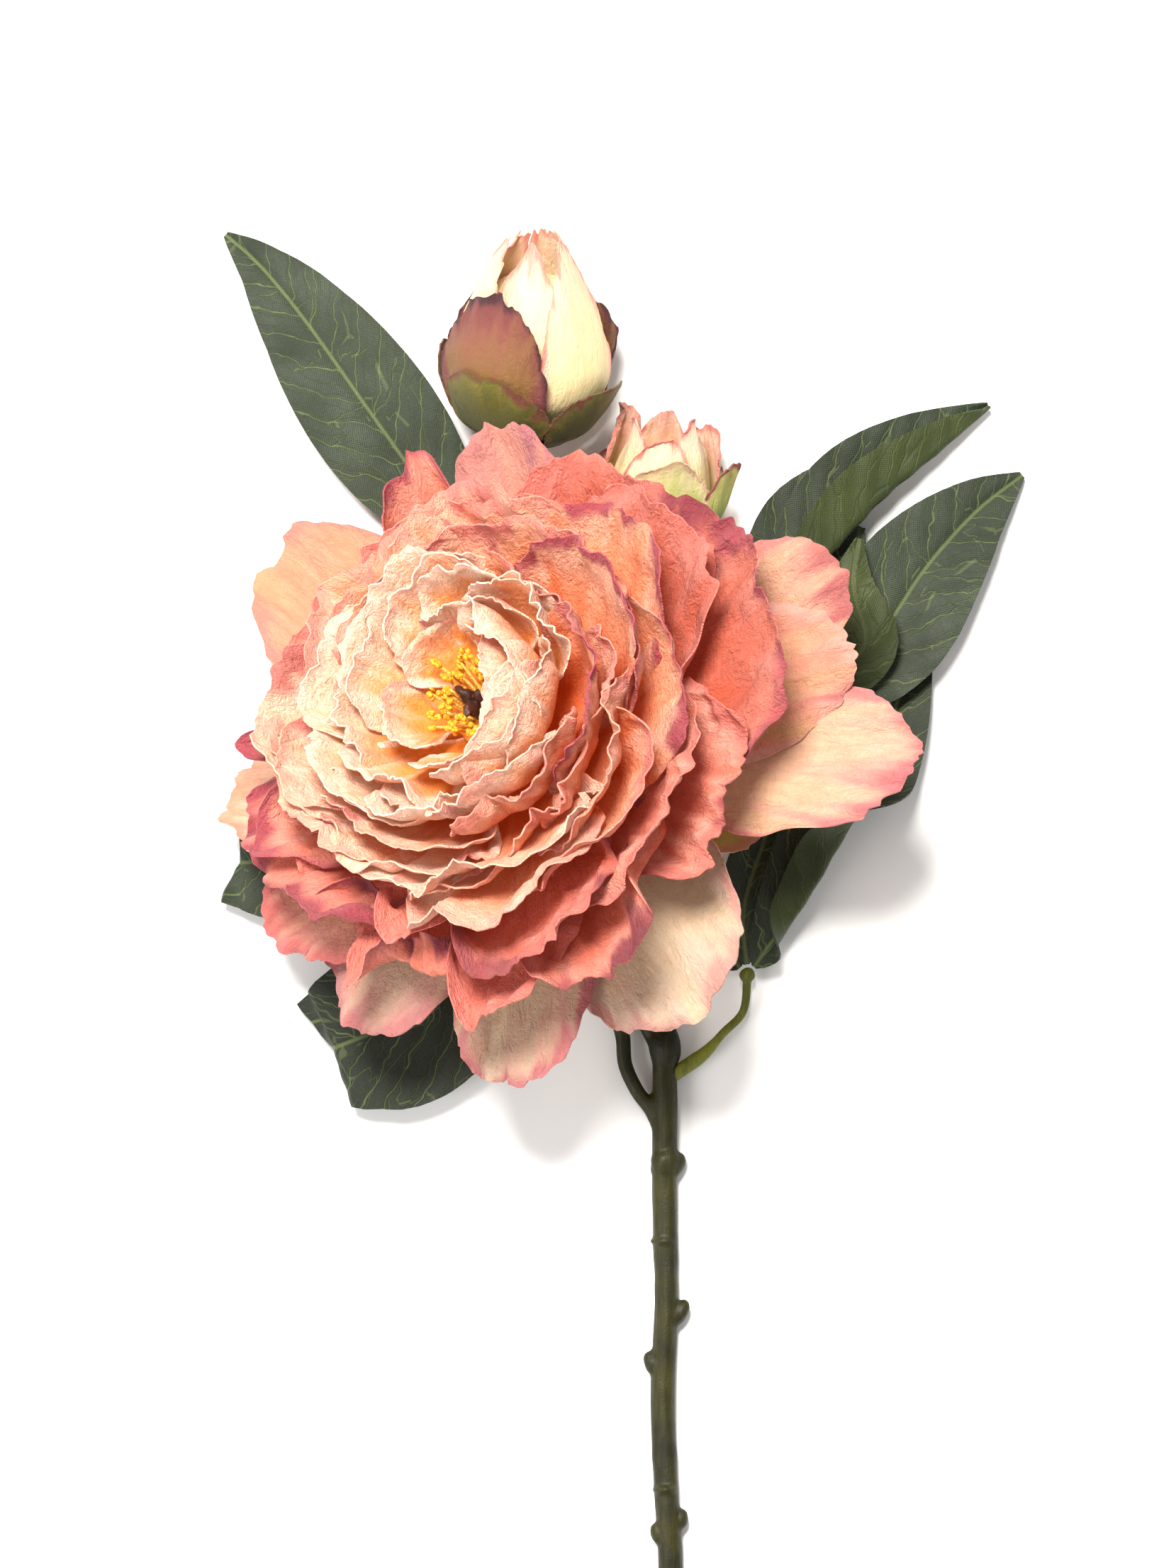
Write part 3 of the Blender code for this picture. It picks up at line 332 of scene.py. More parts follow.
neck = bloom_frame @ Vector((0, 0, -NECK_END))
neck_low = bloom_frame @ Vector((0, 0, -NECK_END - NECK_STRAIGHT))
bud_arm_ends = [BUD_SEAT - (ARM_STRAIGHT + PIECE_GAP) * BUD_AXIS, BUD_SEAT - PIECE_GAP * BUD_AXIS]
side_arm_ends = [SIDE_BUD_SEAT - (SIDE_ARM_STRAIGHT + PIECE_GAP) * SIDE_BUD_AXIS,
                 SIDE_BUD_SEAT - PIECE_GAP * SIDE_BUD_AXIS]
shells = [
    stalk_shell([*STEM_ROUTE, neck_low, neck], [STEM_RADIUS] * 9 + [NECK_RADIUS] * 3, roughness=0.16,
                seed=3),
    stalk_shell([*BUD_ARM_ROUTE, *bud_arm_ends], [ARM_RADIUS] * 2, roughness=0.09, seed=7),
    stalk_shell([*SIDE_BUD_ARM_ROUTE, *side_arm_ends], [SIDE_BRANCH_RADIUS] * 2, roughness=0.08, seed=11),
    stalk_shell(BRANCH_ROUTE, [SIDE_BRANCH_RADIUS] * 2, roughness=0.08, seed=13),
]
for number, knot in enumerate(KNOTS):
    shells.append(swelling_shell(knot.centre, knot.axis, knot.radius, knot.half_length, 0.12, number))
stem_coating = plastic_material("stem_coating", (0.008, 0.008, 0.0012), (0.028, 0.026, 0.0035), 0.35)
stem = mesh_piece("stem_coating", shells)
moulded(stem, COATING_GRAIN, COATING_SMOOTHING)
stand_for(stem, "stem", stem_coating)

# LEAF STALKS
# Four thin stalks of yellow-green plastic over wire. Each plugs on the stem or a branch with a thicker
# sleeve, and swells where its leaves are glued.

LEAF_STALK_RADIUS = 1.05
LEAF_SLEEVE_RADIUS = 1.75
LEAF_JOINT_RADIUS = 1.9
STALK_GRAIN = 0.3
LeafStalk = namedtuple("LeafStalk", "name wire sleeve joints")
LEAF_STALKS = [
    LeafStalk("lower_right_leaf_stalk",
              [(12.2, -3.5, 3.6), (18.5, 0.9, 4.2), (24, 6.6, 4.6), (28.6, 11.7, 4.6), (29.6, 20.2, 4.4)],
              [(10.5, -4.5, 3.6), (18.5, 0.9, 4.2), (23.0, 5.4, 4.5)], [(29.6, 20.2, 4.4)]),
    LeafStalk("upper_right_leaf_stalk",
              [(7.5, 38, 4.2), (14, 54, 4.2), (27, 74, 4.6), (38.5, 90.0, 5.0), (38.5, 97, 5.2),
               (36.8, 105.0, 6.2)],
              [(6.5, 38, 4.2), (11, 48, 4.2), (15.5, 57, 4.3)], [(38.5, 90.0, 5.0), (36.8, 105.0, 6.2)]),
    LeafStalk("left_leaf_stalk", [(-2, 12, 4), (-7.5, 20, 4.2), (-16, 26.5, 4.6), (-26.4, 29.7, 5.0)],
              [(-2.5, 12.5, 4), (-6.5, 18.8, 4.2), (-10, 22.5, 4.3)], [(-26.4, 29.7, 5.0)]),
    LeafStalk("upper_left_leaf_stalk", [(-15, 95, 4.6), (-21, 104, 4.6), (-31.8, 117.6, 4.6)],
              [(-14.5, 94.5, 4.6), (-18.5, 100.5, 4.6), (-22, 105, 4.6)], [(-31.8, 117.6, 4.6)]),
]

stalk_plastic = plastic_material("leaf_stalk_plastic", (0.075, 0.085, 0.012), (0.17, 0.175, 0.022), 0.2)
for stalk in LEAF_STALKS:
    sleeve_radii = [LEAF_SLEEVE_RADIUS, LEAF_SLEEVE_RADIUS, 0.9 * LEAF_STALK_RADIUS]
    shells = [stalk_shell(stalk.wire, [LEAF_STALK_RADIUS] * 2, roughness=0.05),
              stalk_shell(stalk.sleeve, sleeve_radii, 0.6, roughness=0.06)]
    for centre in stalk.joints:
        shells.append(swelling_shell(centre, (0, 0, 1), LEAF_JOINT_RADIUS, LEAF_JOINT_RADIUS, 0.1))
    piece = mesh_piece(stalk.name + "_plastic", shells)
    moulded(piece, STALK_GRAIN, COATING_SMOOTHING)
    stand_for(piece, stalk.name, stalk_plastic)

# LEAVES
# Eleven leaves cut from stiffened cloth, sage green above and olive below, with the veins pressed and
# printed in pale yellow-green. Some margins have rolled over, and two tips are folded under.

LEAF_THICKNESS = 0.45
FLOOR_SOFTNESS = 1.6
LEAF_LENGTHWISE = 64
LEAF_CROSSWISE = 28
LEAF_STEP = 3.0
LEAF_END_HALF_WIDTH = 0.7
LEAF_FULLEST = 0.82
LEAF_ROUNDNESS = 0.9
CURL_STEPS = 24
CURL_START = 0.16
CURL_FADE = 0.3
CURL_WIDTH = 0.32
CURL_GAP = 0.04
VEIN_SPACING = 8.5
VEIN_SLANT = 1.15
VEIN_SIDE_SHIFT = 3.9
VEIN_RELIEF = 0.16
MIDRIB_DEPTH = 0.45
MIDRIB_HALF_WIDTH = 1.3
LEAF_BUCKLE = 0.8
# How far each leaf's upper side is darkened towards near-black: painted shade, strongest on the lower
# leaves.
LEAF_PAINTED_SHADE = [0.3, 0.35, 0.45, 0.3, 0.4, 0.5, 0.55, 0.6, 0.7, 0.6, 0.92]
Leaf = namedtuple("Leaf", "name route half_width roll_start roll_end fold curl curl_from curl_to")
LEAVES = [
    Leaf("leaf_upper_left", [(-33.3, 119.4, 4.6), (-48.3, 137.8, 5.5), (-60.8, 155, 6.5), (-76, 176.5, 5),
         (-87, 190, 3), (-95.5, 197.7, 1.2)], 15.0, 0, 0, 7, 0, 0, 1),
    Leaf("leaf_upper_right", [(38.0, 106.4, 7.7), (44.5, 117.5, 10), (53.5, 129, 9.5), (61.5, 137, 8.5),
         (74, 146.5, 6), (87.4, 156.7, 3)], 14.5, 0, -4, 5, 168, 0.02, 1.15),
    Leaf("leaf_upper_right_back", [(35.8, 107.3, 4.4), (36.5, 117, 3), (42, 128, 2.4), (50, 137, 2),
         (58, 144, 1.5)], 9.0, 0, 0, 3, 0, 0, 1),
    Leaf("leaf_right", [(41.0, 90.3, 5.6), (51, 92, 8.5), (61.5, 102, 7.8), (72, 117.5, 7), (84, 131, 5.4),
         (95.5, 140.1, 1.5)], 15.0, 0, 0, 4, 0, 0, 1),
    Leaf("leaf_right_turned", [(40.6, 91.3, 7.2), (50, 92.5, 13.5), (57.5, 100, 15), (54.5, 113, 15),
         (56, 124.5, 13)], 7.5, 170, 180, -4, 0, 0, 1),
    Leaf("leaf_right_inner", [(40.4, 91.8, 3.6), (46.5, 100, 3.8), (50, 111, 4.6), (57, 127.5, 4.6)], 6.0,
         0, 0, 3, 0, 0, 1),
    Leaf("leaf_lower_right", [(31.2, 22.2, 6.0), (42, 38.5, 11), (51.5, 56, 11), (61, 74, 6.5),
         (67.5, 91, 2.6), (72.5, 107, 1.2)], 12.0, 10, 0, 6, 150, 0.02, 0.62),
    Leaf("leaf_lower_right_back", [(29.3, 22.8, 4.6), (28.4, 33, 6.0), (30, 42, 6.4), (34, 54, 6.4),
         (36, 66, 6.4), (38, 80, 6)], 6.5, -12, -10, 6, 0, 0, 1),
    Leaf("leaf_lower_inner", [(27.7, 21.9, 3.2), (23, 27.5, 2.4), (19.5, 35, 2.2), (17, 45, 2.2)], 6.0,
         0, 0, 3, 0, 0, 1),
    Leaf("leaf_left", [(-28.4, 31.6, 4.0), (-48, 40.5, 5.5), (-66, 46.2, 7.0), (-84, 47.2, 7.2),
         (-92.0, 47.2, 6.0), (-92.4, 47.2, 3.9), (-86, 47.2, 2.2), (-75, 47.2, 1.2)],
         16.0, 0, 0, 3, 0, 0, 1),
    Leaf("leaf_lower_left", [(-28.1, 28.4, 5.7), (-42, 16.5, 10), (-54, 9.0, 9.5), (-63.7, 5.1, 8.2),
         (-69.4, 2.9, 6.6), (-69.8, 2.75, 4.4), (-64.5, 4.8, 2.6), (-54, 8.9, 1.2)],
         20.0, 0, 0, 3, 0, 0, 1),
]


def leaf_width(along, half_width):
    """Half the width of a pointed, oval leaf."""
    if not 0 < along < 1:
        return LEAF_END_HALF_WIDTH
    return LEAF_END_HALF_WIDTH + half_width * math.sin(math.pi * along ** LEAF_FULLEST) ** LEAF_ROUNDNESS


def leaf_side(route, flat):
    """The level direction to the right of a leaf's run, which a tip that folds under keeps."""
    overall = route[len(route) // 2] - route[0]
    if flat.dot(Vector((overall.x, overall.y, 0))) < 0:
        flat = Vector((overall.x, overall.y, 0)).normalized()
    return flat.cross(Vector((0, 0, 1)))


def leaf_point(leaf, route, along, across, lift_by):
    """A point of a leaf's middle surface, raised by lift_by from its plain shape."""
    spot = along * (len(route) - 1)
    first = min(int(spot), len(route) - 2)
    centre = route[first].lerp(route[first + 1], spot - first)
    before, after = route[max(first - 1, 0)], route[min(first + 2, len(route) - 1)]
    ahead = (after - before).normalized()
    across_way = leaf_side(route, Vector((ahead.x, ahead.y, 0)).normalized())
    lift = across_way.cross(ahead).normalized()
    roll = math.radians(leaf.roll_start + (leaf.roll_end - leaf.roll_start) * along)
    side = math.cos(roll) * across_way + math.sin(roll) * lift
    face = math.cos(roll) * lift - math.sin(roll) * across_way
    reach = abs(across) * leaf_width(along, leaf.half_width)
    turned = leaf.curl * ease((along - leaf.curl_from) / CURL_START)
    turned *= ease((leaf.curl_to - along) / CURL_FADE)
    out, up, angle = 0.0, 0.0, 0.0
    for step in range(CURL_STEPS):
        share = (step + 0.5) / CURL_STEPS * abs(across)
        angle = leaf.fold + (turned * ease((share - CURL_GAP) / CURL_WIDTH) if across > 0 else 0.0)
        out += math.cos(math.radians(angle)) * reach / CURL_STEPS
        up += math.sin(math.radians(angle)) * reach / CURL_STEPS
    angle = math.radians(angle)
    out -= lift_by * math.sin(angle)
    up += lift_by * math.cos(angle)
    return centre + side * (math.copysign(1.0, across) * float(out)) + face * float(up)


def rest_on_floor(places, half_thickness):
    """Flattens whatever would reach below the surface, so that cloth lies on it."""
    height = places[..., 2] - half_thickness
    places[..., 2] = half_thickness + 0.5 * (height + np.hypot(height, FLOOR_SOFTNESS))
    return places


def cloth_shell(places, thickness):
    """A sheet of cloth: two faces a thickness apart, joined round the cut edge. The points of the underside
    come second."""
    rows, columns = places.shape[:2]
    normal = np.cross(np.gradient(places, axis=0), np.gradient(places, axis=1))
    normal /= np.maximum(np.linalg.norm(normal, axis=-1, keepdims=True), 1e-9)
    front = (places + 0.5 * thickness * normal).reshape(-1, 3)
    back = (places - 0.5 * thickness * normal).reshape(-1, 3)
    number = np.arange(rows * columns).reshape(rows, columns)
    a, b, c, d = number[:-1, :-1], number[:-1, 1:], number[1:, 1:], number[1:, :-1]
    faces = np.stack([a, d, c, b], axis=-1).reshape(-1, 4)
    under = faces[:, ::-1] + rows * columns
    edge = np.concatenate([number[0, :-1], number[:-1, -1], number[-1, :0:-1], number[:0:-1, 0]])
    beside = np.roll(edge, -1)
    rim = np.stack([edge, beside, beside + rows * columns, edge + rows * columns], axis=-1)
    return np.concatenate([front, back]), np.concatenate([faces, under, rim]).tolist()


def keep_edges(piece):
    """Keeps the cut edges of cloth crisp under smooth shading."""
    piece.data.set_sharp_from_angle(angle=math.radians(55))


def difference(tree, first, second):
    return maths(tree, "SUBTRACT", first, second)


def kept_value(tree, name, output="Fac"):
    """A value that the mesh keeps for each of its points."""
    return add(tree, "ShaderNodeAttribute", attribute_name=name).outputs[output]


# Fine crossing threads, as seen close to on cloth. Place is in millimetres along and across the cloth.
weave_group, given, wanted = new_group("fine_weave", {"Place": "vector", "Threads": "value"},
                                       {"Height": "value"})
apart = add(weave_group, "ShaderNodeSeparateXYZ", {0: given["Place"]}).outputs
turns = product(weave_group, given["Threads"], 6.2832)
waves = [maths(weave_group, "SINE", product(weave_group, apart[axis], turns)) for axis in "XY"]
weave_group.links.new(product(weave_group, *waves), wanted["Height"])


def net_lines(tree, place, scale, low, high):
    """Thin lines between irregular cells: 1 on a line and 0 away from it."""
    cells = add(tree, "ShaderNodeTexVoronoi", {"Vector": place, "Scale": scale}, feature="DISTANCE_TO_EDGE")
    return mapped(tree, cells.outputs["Distance"], low, high, 1.0, 0.0)


leaf_cloth, tree, shader = new_material("leaf_cloth")
leaf_place = kept_value(tree, "cloth_place", "Vector")

# Leaf veins: a midrib, side veins that leave it at a slant and bend to the tip, and a net between them.
# They are drawn in millimetres along and across the leaf, from the joint and from the midrib.
apart = add(tree, "ShaderNodeSeparateXYZ", {0: leaf_place}).outputs
outward = maths(tree, "ABSOLUTE", apart["Y"])
right_side = maths(tree, "GREATER_THAN", apart["Y"], 0.0)
drift = product(tree, difference(tree, noise(tree, leaf_place, 0.11, 2.0), 0.5), 9.0)
fine_drift = product(tree, difference(tree, noise(tree, leaf_place, 0.42, 2.0), 0.5), 1.2)
shift = total(tree, total(tree, drift, fine_drift), product(tree, right_side, VEIN_SIDE_SHIFT))
slanted = total(tree, difference(tree, apart["X"], product(tree, outward, VEIN_SLANT)), shift)
phase = maths(tree, "FRACT", maths(tree, "DIVIDE", slanted, VEIN_SPACING))
gap = product(tree, maths(tree, "ABSOLUTE", difference(tree, phase, 0.5)), VEIN_SPACING)
side_vein = mapped(tree, gap, 0.1, 0.36, 1.0, 0.0)
midrib = mapped(tree, outward, 0.3, 0.75, 1.0, 0.0)
net_place = add(tree, "ShaderNodeCombineXYZ",
                {"X": slanted, "Y": product(tree, outward, 0.42), "Z": right_side}).outputs[0]
coarse_net = net_lines(tree, net_place, 0.21, 0.006, 0.028)
fine_net = net_lines(tree, leaf_place, 0.75, 0.0, 0.09)
veins = maths(tree, "MAXIMUM", side_vein, midrib)
net = maths(tree, "MAXIMUM", product(tree, coarse_net, 0.75), product(tree, fine_net, 0.12))
deepest = maths(tree, "MAXIMUM", midrib,
                product(tree, maths(tree, "MAXIMUM", side_vein, coarse_net), 0.6))
vein_depth = total(tree, deepest, product(tree, fine_net, 0.12))

patches = noise(tree, leaf_place, 0.07, 4.0)
patchy = mapped(tree, patches, 0.3, 0.7)
above = colour_mix(tree, patchy, (0.016, 0.024, 0.012), (0.031, 0.044, 0.023))
# Painted shade: each leaf's upper side is darkened towards near-black by the share kept for that leaf.
above = colour_mix(tree, kept_value(tree, "shade_and_tone"), above, (0.006, 0.009, 0.003))
above = colour_mix(tree, product(tree, veins, 0.42), above, (0.13, 0.17, 0.055))
above = colour_mix(tree, product(tree, net, 0.36), above, (0.12, 0.155, 0.05))
below = colour_mix(tree, patchy, (0.016, 0.025, 0.003), (0.030, 0.042, 0.005))
below = colour_mix(tree, product(tree, veins, 0.25), below, (0.08, 0.10, 0.025))
tree.links.new(colour_mix(tree, kept_value(tree, "underside"), above, below), shader.inputs["Base Color"])
tree.links.new(mapped(tree, patches, 0.3, 0.7, 0.68, 0.52), shader.inputs["Roughness"])
threads = grouped(tree, weave_group, {"Place": leaf_place, "Threads": 1.6})["Height"]
relief = difference(tree, product(tree, threads, 0.12), product(tree, vein_depth, 0.8))
bumped(tree, shader, relief, 0.35, 0.7)
shader.inputs["Sheen Weight"].default_value = 0.04
shader.inputs["Sheen Roughness"].default_value = 0.5
shader.inputs["Specular IOR Level"].default_value = 0.3

for leaf_number, leaf in enumerate(LEAVES):
    route = smooth_route(leaf.route, LEAF_STEP)
    run = sum((after - before).length for before, after in zip(route, route[1:]))
    across, along = np.meshgrid(np.linspace(1, -1, LEAF_CROSSWISE + 1),
                                np.linspace(0, 1, LEAF_LENGTHWISE + 1))
    widths = np.vectorize(lambda share: leaf_width(share, leaf.half_width))(along)
    sideways = across * widths
    slanted = along * run - VEIN_SLANT * np.abs(sideways) + np.where(across > 0, VEIN_SIDE_SHIFT, 0.0)
    lift_by = VEIN_RELIEF * np.cos(2 * np.pi * slanted / VEIN_SPACING) * ease(np.abs(sideways) / 4)
    lift_by -= MIDRIB_DEPTH * np.exp(-(sideways / MIDRIB_HALF_WIDTH) ** 2)
    lift_by += LEAF_BUCKLE * hills(along * 5, across * 1.3 + 4, leaf_number) * np.abs(across) ** 1.5
    lift_by *= ease(along / 0.1)
    places = np.zeros((*along.shape, 3))
    for spot in np.ndindex(along.shape):
        places[spot] = leaf_point(leaf, route, along[spot], across[spot], lift_by[spot])
    shell = cloth_shell(rest_on_floor(places, 0.5 * LEAF_THICKNESS), LEAF_THICKNESS)
    cloth = np.stack([along * run, sideways, np.full_like(along, 31.0 * leaf_number)], axis=-1)
    layers = {"cloth_place": np.tile(cloth.reshape(-1, 3), (2, 1)),
              "underside": np.repeat([0.0, 1.0], along.size)[:, None],
              "shade_and_tone": np.full((2 * along.size, 1), LEAF_PAINTED_SHADE[leaf_number])}
    piece = mesh_piece(leaf.name + "_cloth", [shell], layers)
    keep_edges(piece)
    stand_for(piece, leaf.name, leaf_cloth)

# BLOOM SEPALS
# Five short yellow-green sepals of cloth on a moulded cup, the first piece threaded on the neck of the stem.
# They were pressed hollow, and their rims are dyed a dull pink.

PETAL_THICKNESS = 0.4
CALYX_TOP = 1.3
CALYX_FOOT_RADIUS = 3.4
CORE_RADIUS = 8.5
FOOT_HALF_WIDTH = 1.4
WIDENING = 0.6
LENGTH_UNEVENNESS = 0.03
LEAN_UNEVENNESS = 1.5
LEAST_CURVE = 0.004
TIGHTEST_CURVE_RADIUS = 6.0
Row = namedtuple("Row", "petals length foot_angle rim_angle bend foot_radius foot_height half_width roll "
                        "lean lean_to wave round")
Petal = namedtuple("Petal", "azimuth length lift width")
Crinkle = namedtuple("Crinkle", "ruffle crease curl ragged fold")
Dye = namedtuple("Dye", "foot body rim tip underside blush")
SEPAL_ROW = Row([Petal(342, 1.0, 0, 1), Petal(60, 0.9, 0, 1), Petal(130, 1.0, 0, 1), Petal(200, 0.9, 0, 1),
                 Petal(272, 1.0, 0, 1)], 44, 86, 94, 1.0, 5, -4.5, 14, 0, 12, 142, 1.2, 0.5)
MIDDLE_REACH = 1.1
MIDDLE_STATIONS = 56
FOLD_FROM = 0.78
ROLL_FROM = 0.92
ROLL_STEPS = 16
TURNED_SIDES = 40
DYE_DEPTH = 0.79


def uneven(number, trait):
    """A repeatable value between -1 and 1 that differs for each petal number and each trait."""
    return math.sin(number * 2.399963 * trait + 1.7 * trait)


def petal_middle(row, lean, lift):
    """The middle line of a petal, as distance from the axis, height on it and angle from it."""
    stations = np.linspace(0.0, MIDDLE_REACH, MIDDLE_STATIONS)
    angles = row.foot_angle + (row.rim_angle - row.foot_angle) * stations ** row.bend
    angles = np.radians(angles + lean - lift * stations)
    step = row.length * (stations[1] - stations[0])
    outward = np.cumsum(0.5 * (np.sin(angles[1:]) + np.sin(angles[:-1])))
    upward = np.cumsum(0.5 * (np.cos(angles[1:]) + np.cos(angles[:-1])))
    radius = row.foot_radius + np.concatenate([[0], outward]) * step
    height = row.foot_height + np.concatenate([[0], upward]) * step
    return stations, radius, height, angles


def petal_grid(columns, rows, roundness=0.5, flip=False):
    """A grid drawn into the outline of a petal: how far each point lies up and out, and how near the rim it
    is. A roundness of 0.5 is a half circle, and less makes a broader top."""
    even = np.linspace(1, -1, columns + 1) if flip else np.linspace(-1, 1, columns + 1)
    edge = 0.6 * np.sin(0.5 * np.pi * even) + 0.4 * even
    rising = np.linspace(0, 1, rows + 1)
    across, along = np.meshgrid(edge, 0.6 * np.sin(0.5 * np.pi * rising) + 0.4 * rising)
    up, out = along * np.sqrt(1 - roundness * across ** 2), across * np.sqrt(1 - 0.5 * along ** 2)
    return up, out, np.sqrt(along ** 2 + across ** 2 - (along * across) ** 2)


def rolled_rim(up, out, reach, turn, size, crinkle, number):
    """Frays the outline, rolls the rim back and folds parts of it forward. Gives the new place in the
    outline, how far it leaves the plain shape, and how much of it is folded."""
    fray = 0.5 * hills(turn * 3.1 + 20, 0.5, number) + 0.3 * hills(turn * 9 + 40, 0.5, number + 7)
    fray += 0.2 * hills(turn * 24 + 40, 0.5, number + 9)
    grown = ease((up + 0.1) / 0.4)
    folded = ease((hills(turn * 1.35 + 80, 0.5, number + 43) - 0.12) / 0.3)
    rolled = -crinkle.curl * (0.3 + 0.9 * hills(turn * 3.2 + 60, 0.5, number + 3))
    beyond = np.maximum(reach - FOLD_FROM, 0.0)
    run, away = np.zeros_like(up), np.zeros_like(up)
    for step in range(ROLL_STEPS):
        spot = FOLD_FROM + beyond * (step + 0.5) / ROLL_STEPS
        angle = crinkle.fold * folded * ease((spot - FOLD_FROM) / 0.1)
        angle = grown * (angle + rolled * ease((spot - ROLL_FROM) / (1 - ROLL_FROM)))
        run += np.cos(angle) * beyond / ROLL_STEPS
        away += np.sin(angle) * beyond / ROLL_STEPS
    reach_now = np.minimum(reach, FOLD_FROM) + run
    reach_now = reach_now * (1 + crinkle.ragged * fray * ease((reach - 0.5) / 0.5))
    scale = np.where(reach > 0.3, reach_now / np.maximum(reach, 0.3), 1.0)
    return up * scale, out * scale, away * size, folded * (crinkle.fold > 0)


def pleats(phase):
    """Folds between -1 and 1 with sharp crests, one for each full turn of phase."""
    return np.arcsin(0.96 * np.sin(phase)) / 1.287


def crinkles(up, out, reach, turn, wide, high, crinkle, number):
    """How far heat-crinkled cloth stands off its plain shape: folds across the rim, and creases that run
    to it."""
    phase = (9 + 3 * uneven(number, 11)) * turn + 6 * hills(turn * 1.8 + 90, reach * 0.9, number + 19)
    tight = ease(0.2 + 1.5 * hills(turn * 1.9 + 35, reach * 0.6, number + 13))
    ruffle = 1.3 * reach ** 2.5 * hills(turn * 2.3 + 30, reach * 1.3, number + 11)
    ruffle += reach ** 4 * (0.1 + 0.42 * tight) * pleats(phase + 6 * uneven(number, 13))
    ruffle += 0.15 * reach ** 7 * (0.3 + tight) * pleats(
        2.6 * phase + 5 * hills(turn * 4 + 50, reach * 2.5, number + 17))
    bent = 5 * hills(wide / 16 + 60, high / 16, number + 47)
    ridge = 1 - 2.4 * np.abs(hills((wide + bent) / 7 + 3, high / 15, number + 23))
    ridge += 0.8 * (1 - 2.4 * np.abs(hills((wide - bent) / 4 + 9, (high + bent) / 9, number + 29)))
    grown = ease((up + 0.15) / 0.5)
    return grown * (crinkle.ruffle * ruffle + crinkle.crease * (0.3 + 0.7 * reach ** 2) * ridge)


def dyed(reach, turn, up, dye, number, underside, folded):
    """Colour of the cloth, brushed on from the foot to the rim, with darker blushes here and there. The
    darker, more saturated colour towards the foot is partly the cloth's own dye and partly painted shade of
    the recesses between petals. The underside is 1, and the upper side 0."""
    foot, body, rim, tip, under, blush = (np.array(colour) for colour in dye)
    body = body * (1 - underside) + under * underside
    streak = 0.12 * hills(turn * 12 + 5, reach * 2, number + 31)
    streak = streak + 0.1 * hills(turn * 4 + 15, reach * 3, number + 37)
    # Painted shade and dye: the colour runs from the foot colour, darker and more saturated on most petals,
    # to the body colour.
    share = ease((up + streak - 0.34) / 0.58)[..., None]
    colour = foot * (1 - share) + body * share
    share = ease((reach + streak - 0.74) / 0.24)[..., None]
    colour = colour * (1 - share) + rim * share
    share = ease((reach + 0.3 * streak - 0.93) / 0.06)[..., None]
    colour = colour * (1 - share) + tip * share
    patch = ease((hills(turn * 2.3 + 70, reach * 0.7, number + 41) - 0.38 + 0.2 * underside) / 0.25)
    patch = np.maximum(patch, folded * (0.35 + 0.65 * underside))
    share = (patch * ease((reach + streak - 0.86) / 0.1))[..., None]
    return DYE_DEPTH * (colour * (1 - share) + blush * share)


def placed(local, place_frame):
    """Points given in a frame of their own, in the part's frame."""
    moved = np.array(place_frame)
    return local @ moved[:3, :3].T + moved[:3, 3]


def dyed_shell(places, wide, high, reach, turn, up, dye, number, folded):
    """The shell of a petal round its middle surface, and for each point its dye, its place on the cloth and
    how near the rim it is."""
    shell = cloth_shell(rest_on_floor(places, 0.5 * PETAL_THICKNESS), PETAL_THICKNESS)
    colours = [dyed(reach, turn, up, dye, number, side, folded).reshape(-1, 3) for side in (0, 1)]
    cloth = np.stack([wide, high, np.full_like(up, 17.0 * number)], axis=-1).reshape(-1, 3)
    return shell, np.concatenate(colours), np.tile(cloth, (2, 1)), np.tile(reach.ravel(), 2)


def petal_shell(row, number, petal, columns, rows, crinkle, dye):
    """A petal of the bloom, as dyed_shell gives it."""
    up, out, reach = petal_grid(columns, rows, row.round)
    turn = np.arctan2(out, up + 0.05)
    half_width = row.half_width * petal.width
    size = 0.5 * (row.length * petal.length + half_width)
    up_now, out_now, away, folded = rolled_rim(up, out, reach, turn, size, crinkle, number)
    low_side = math.cos(math.radians(petal.azimuth - row.lean_to))
    lean = -row.lean * low_side + LEAN_UNEVENNESS * uneven(number, 3)
    length = petal.length * (1.0 + LENGTH_UNEVENNESS * uneven(number, 5))
    stations, radii, heights, angles = petal_middle(row, lean, petal.lift)
    radius = row.foot_radius + (np.interp(up_now, stations, radii) - row.foot_radius) * length
    height = row.foot_height + (np.interp(up_now, stations, heights) - row.foot_height) * length
    angle = np.interp(up_now, stations, angles)
    spread = FOOT_HALF_WIDTH + (half_width - FOOT_HALF_WIDTH) * ease(up_now / WIDENING)
    wide = out_now * spread
    bend = np.maximum(np.cos(angle), 0.0) / np.maximum(radius, TIGHTEST_CURVE_RADIUS) + LEAST_CURVE
    side = np.sin(bend * wide) / bend
    lift = (1.0 - np.cos(bend * wide)) / bend
    raised = row.wave * reach ** 3 * np.sin(3.0 * turn + 6.0 * uneven(number, 7)) + away
    raised = raised + crinkles(up, out, reach, turn, wide, up_now * row.length, crinkle, number)
    side = side - raised * np.sin(bend * wide)
    lift = lift + raised * np.cos(bend * wide)
    roll = math.radians(row.roll)
    side, lift = (side * math.cos(roll) - lift * math.sin(roll),
                  side * math.sin(roll) + lift * math.cos(roll))
    azimuth = math.radians(petal.azimuth)
    outward = np.array((math.cos(azimuth), math.sin(azimuth), 0.0))
    axis = np.array((0.0, 0.0, 1.0))
    inward = np.sin(angle)[..., None] * axis - np.cos(angle)[..., None] * outward
    local = (outward * radius[..., None] + axis * height[..., None]
             + np.cross(axis, outward) * side[..., None] + inward * lift[..., None])
    return dyed_shell(placed(local, bloom_frame), out * spread, up * row.length, reach, turn, up, dye,
                      number, folded)


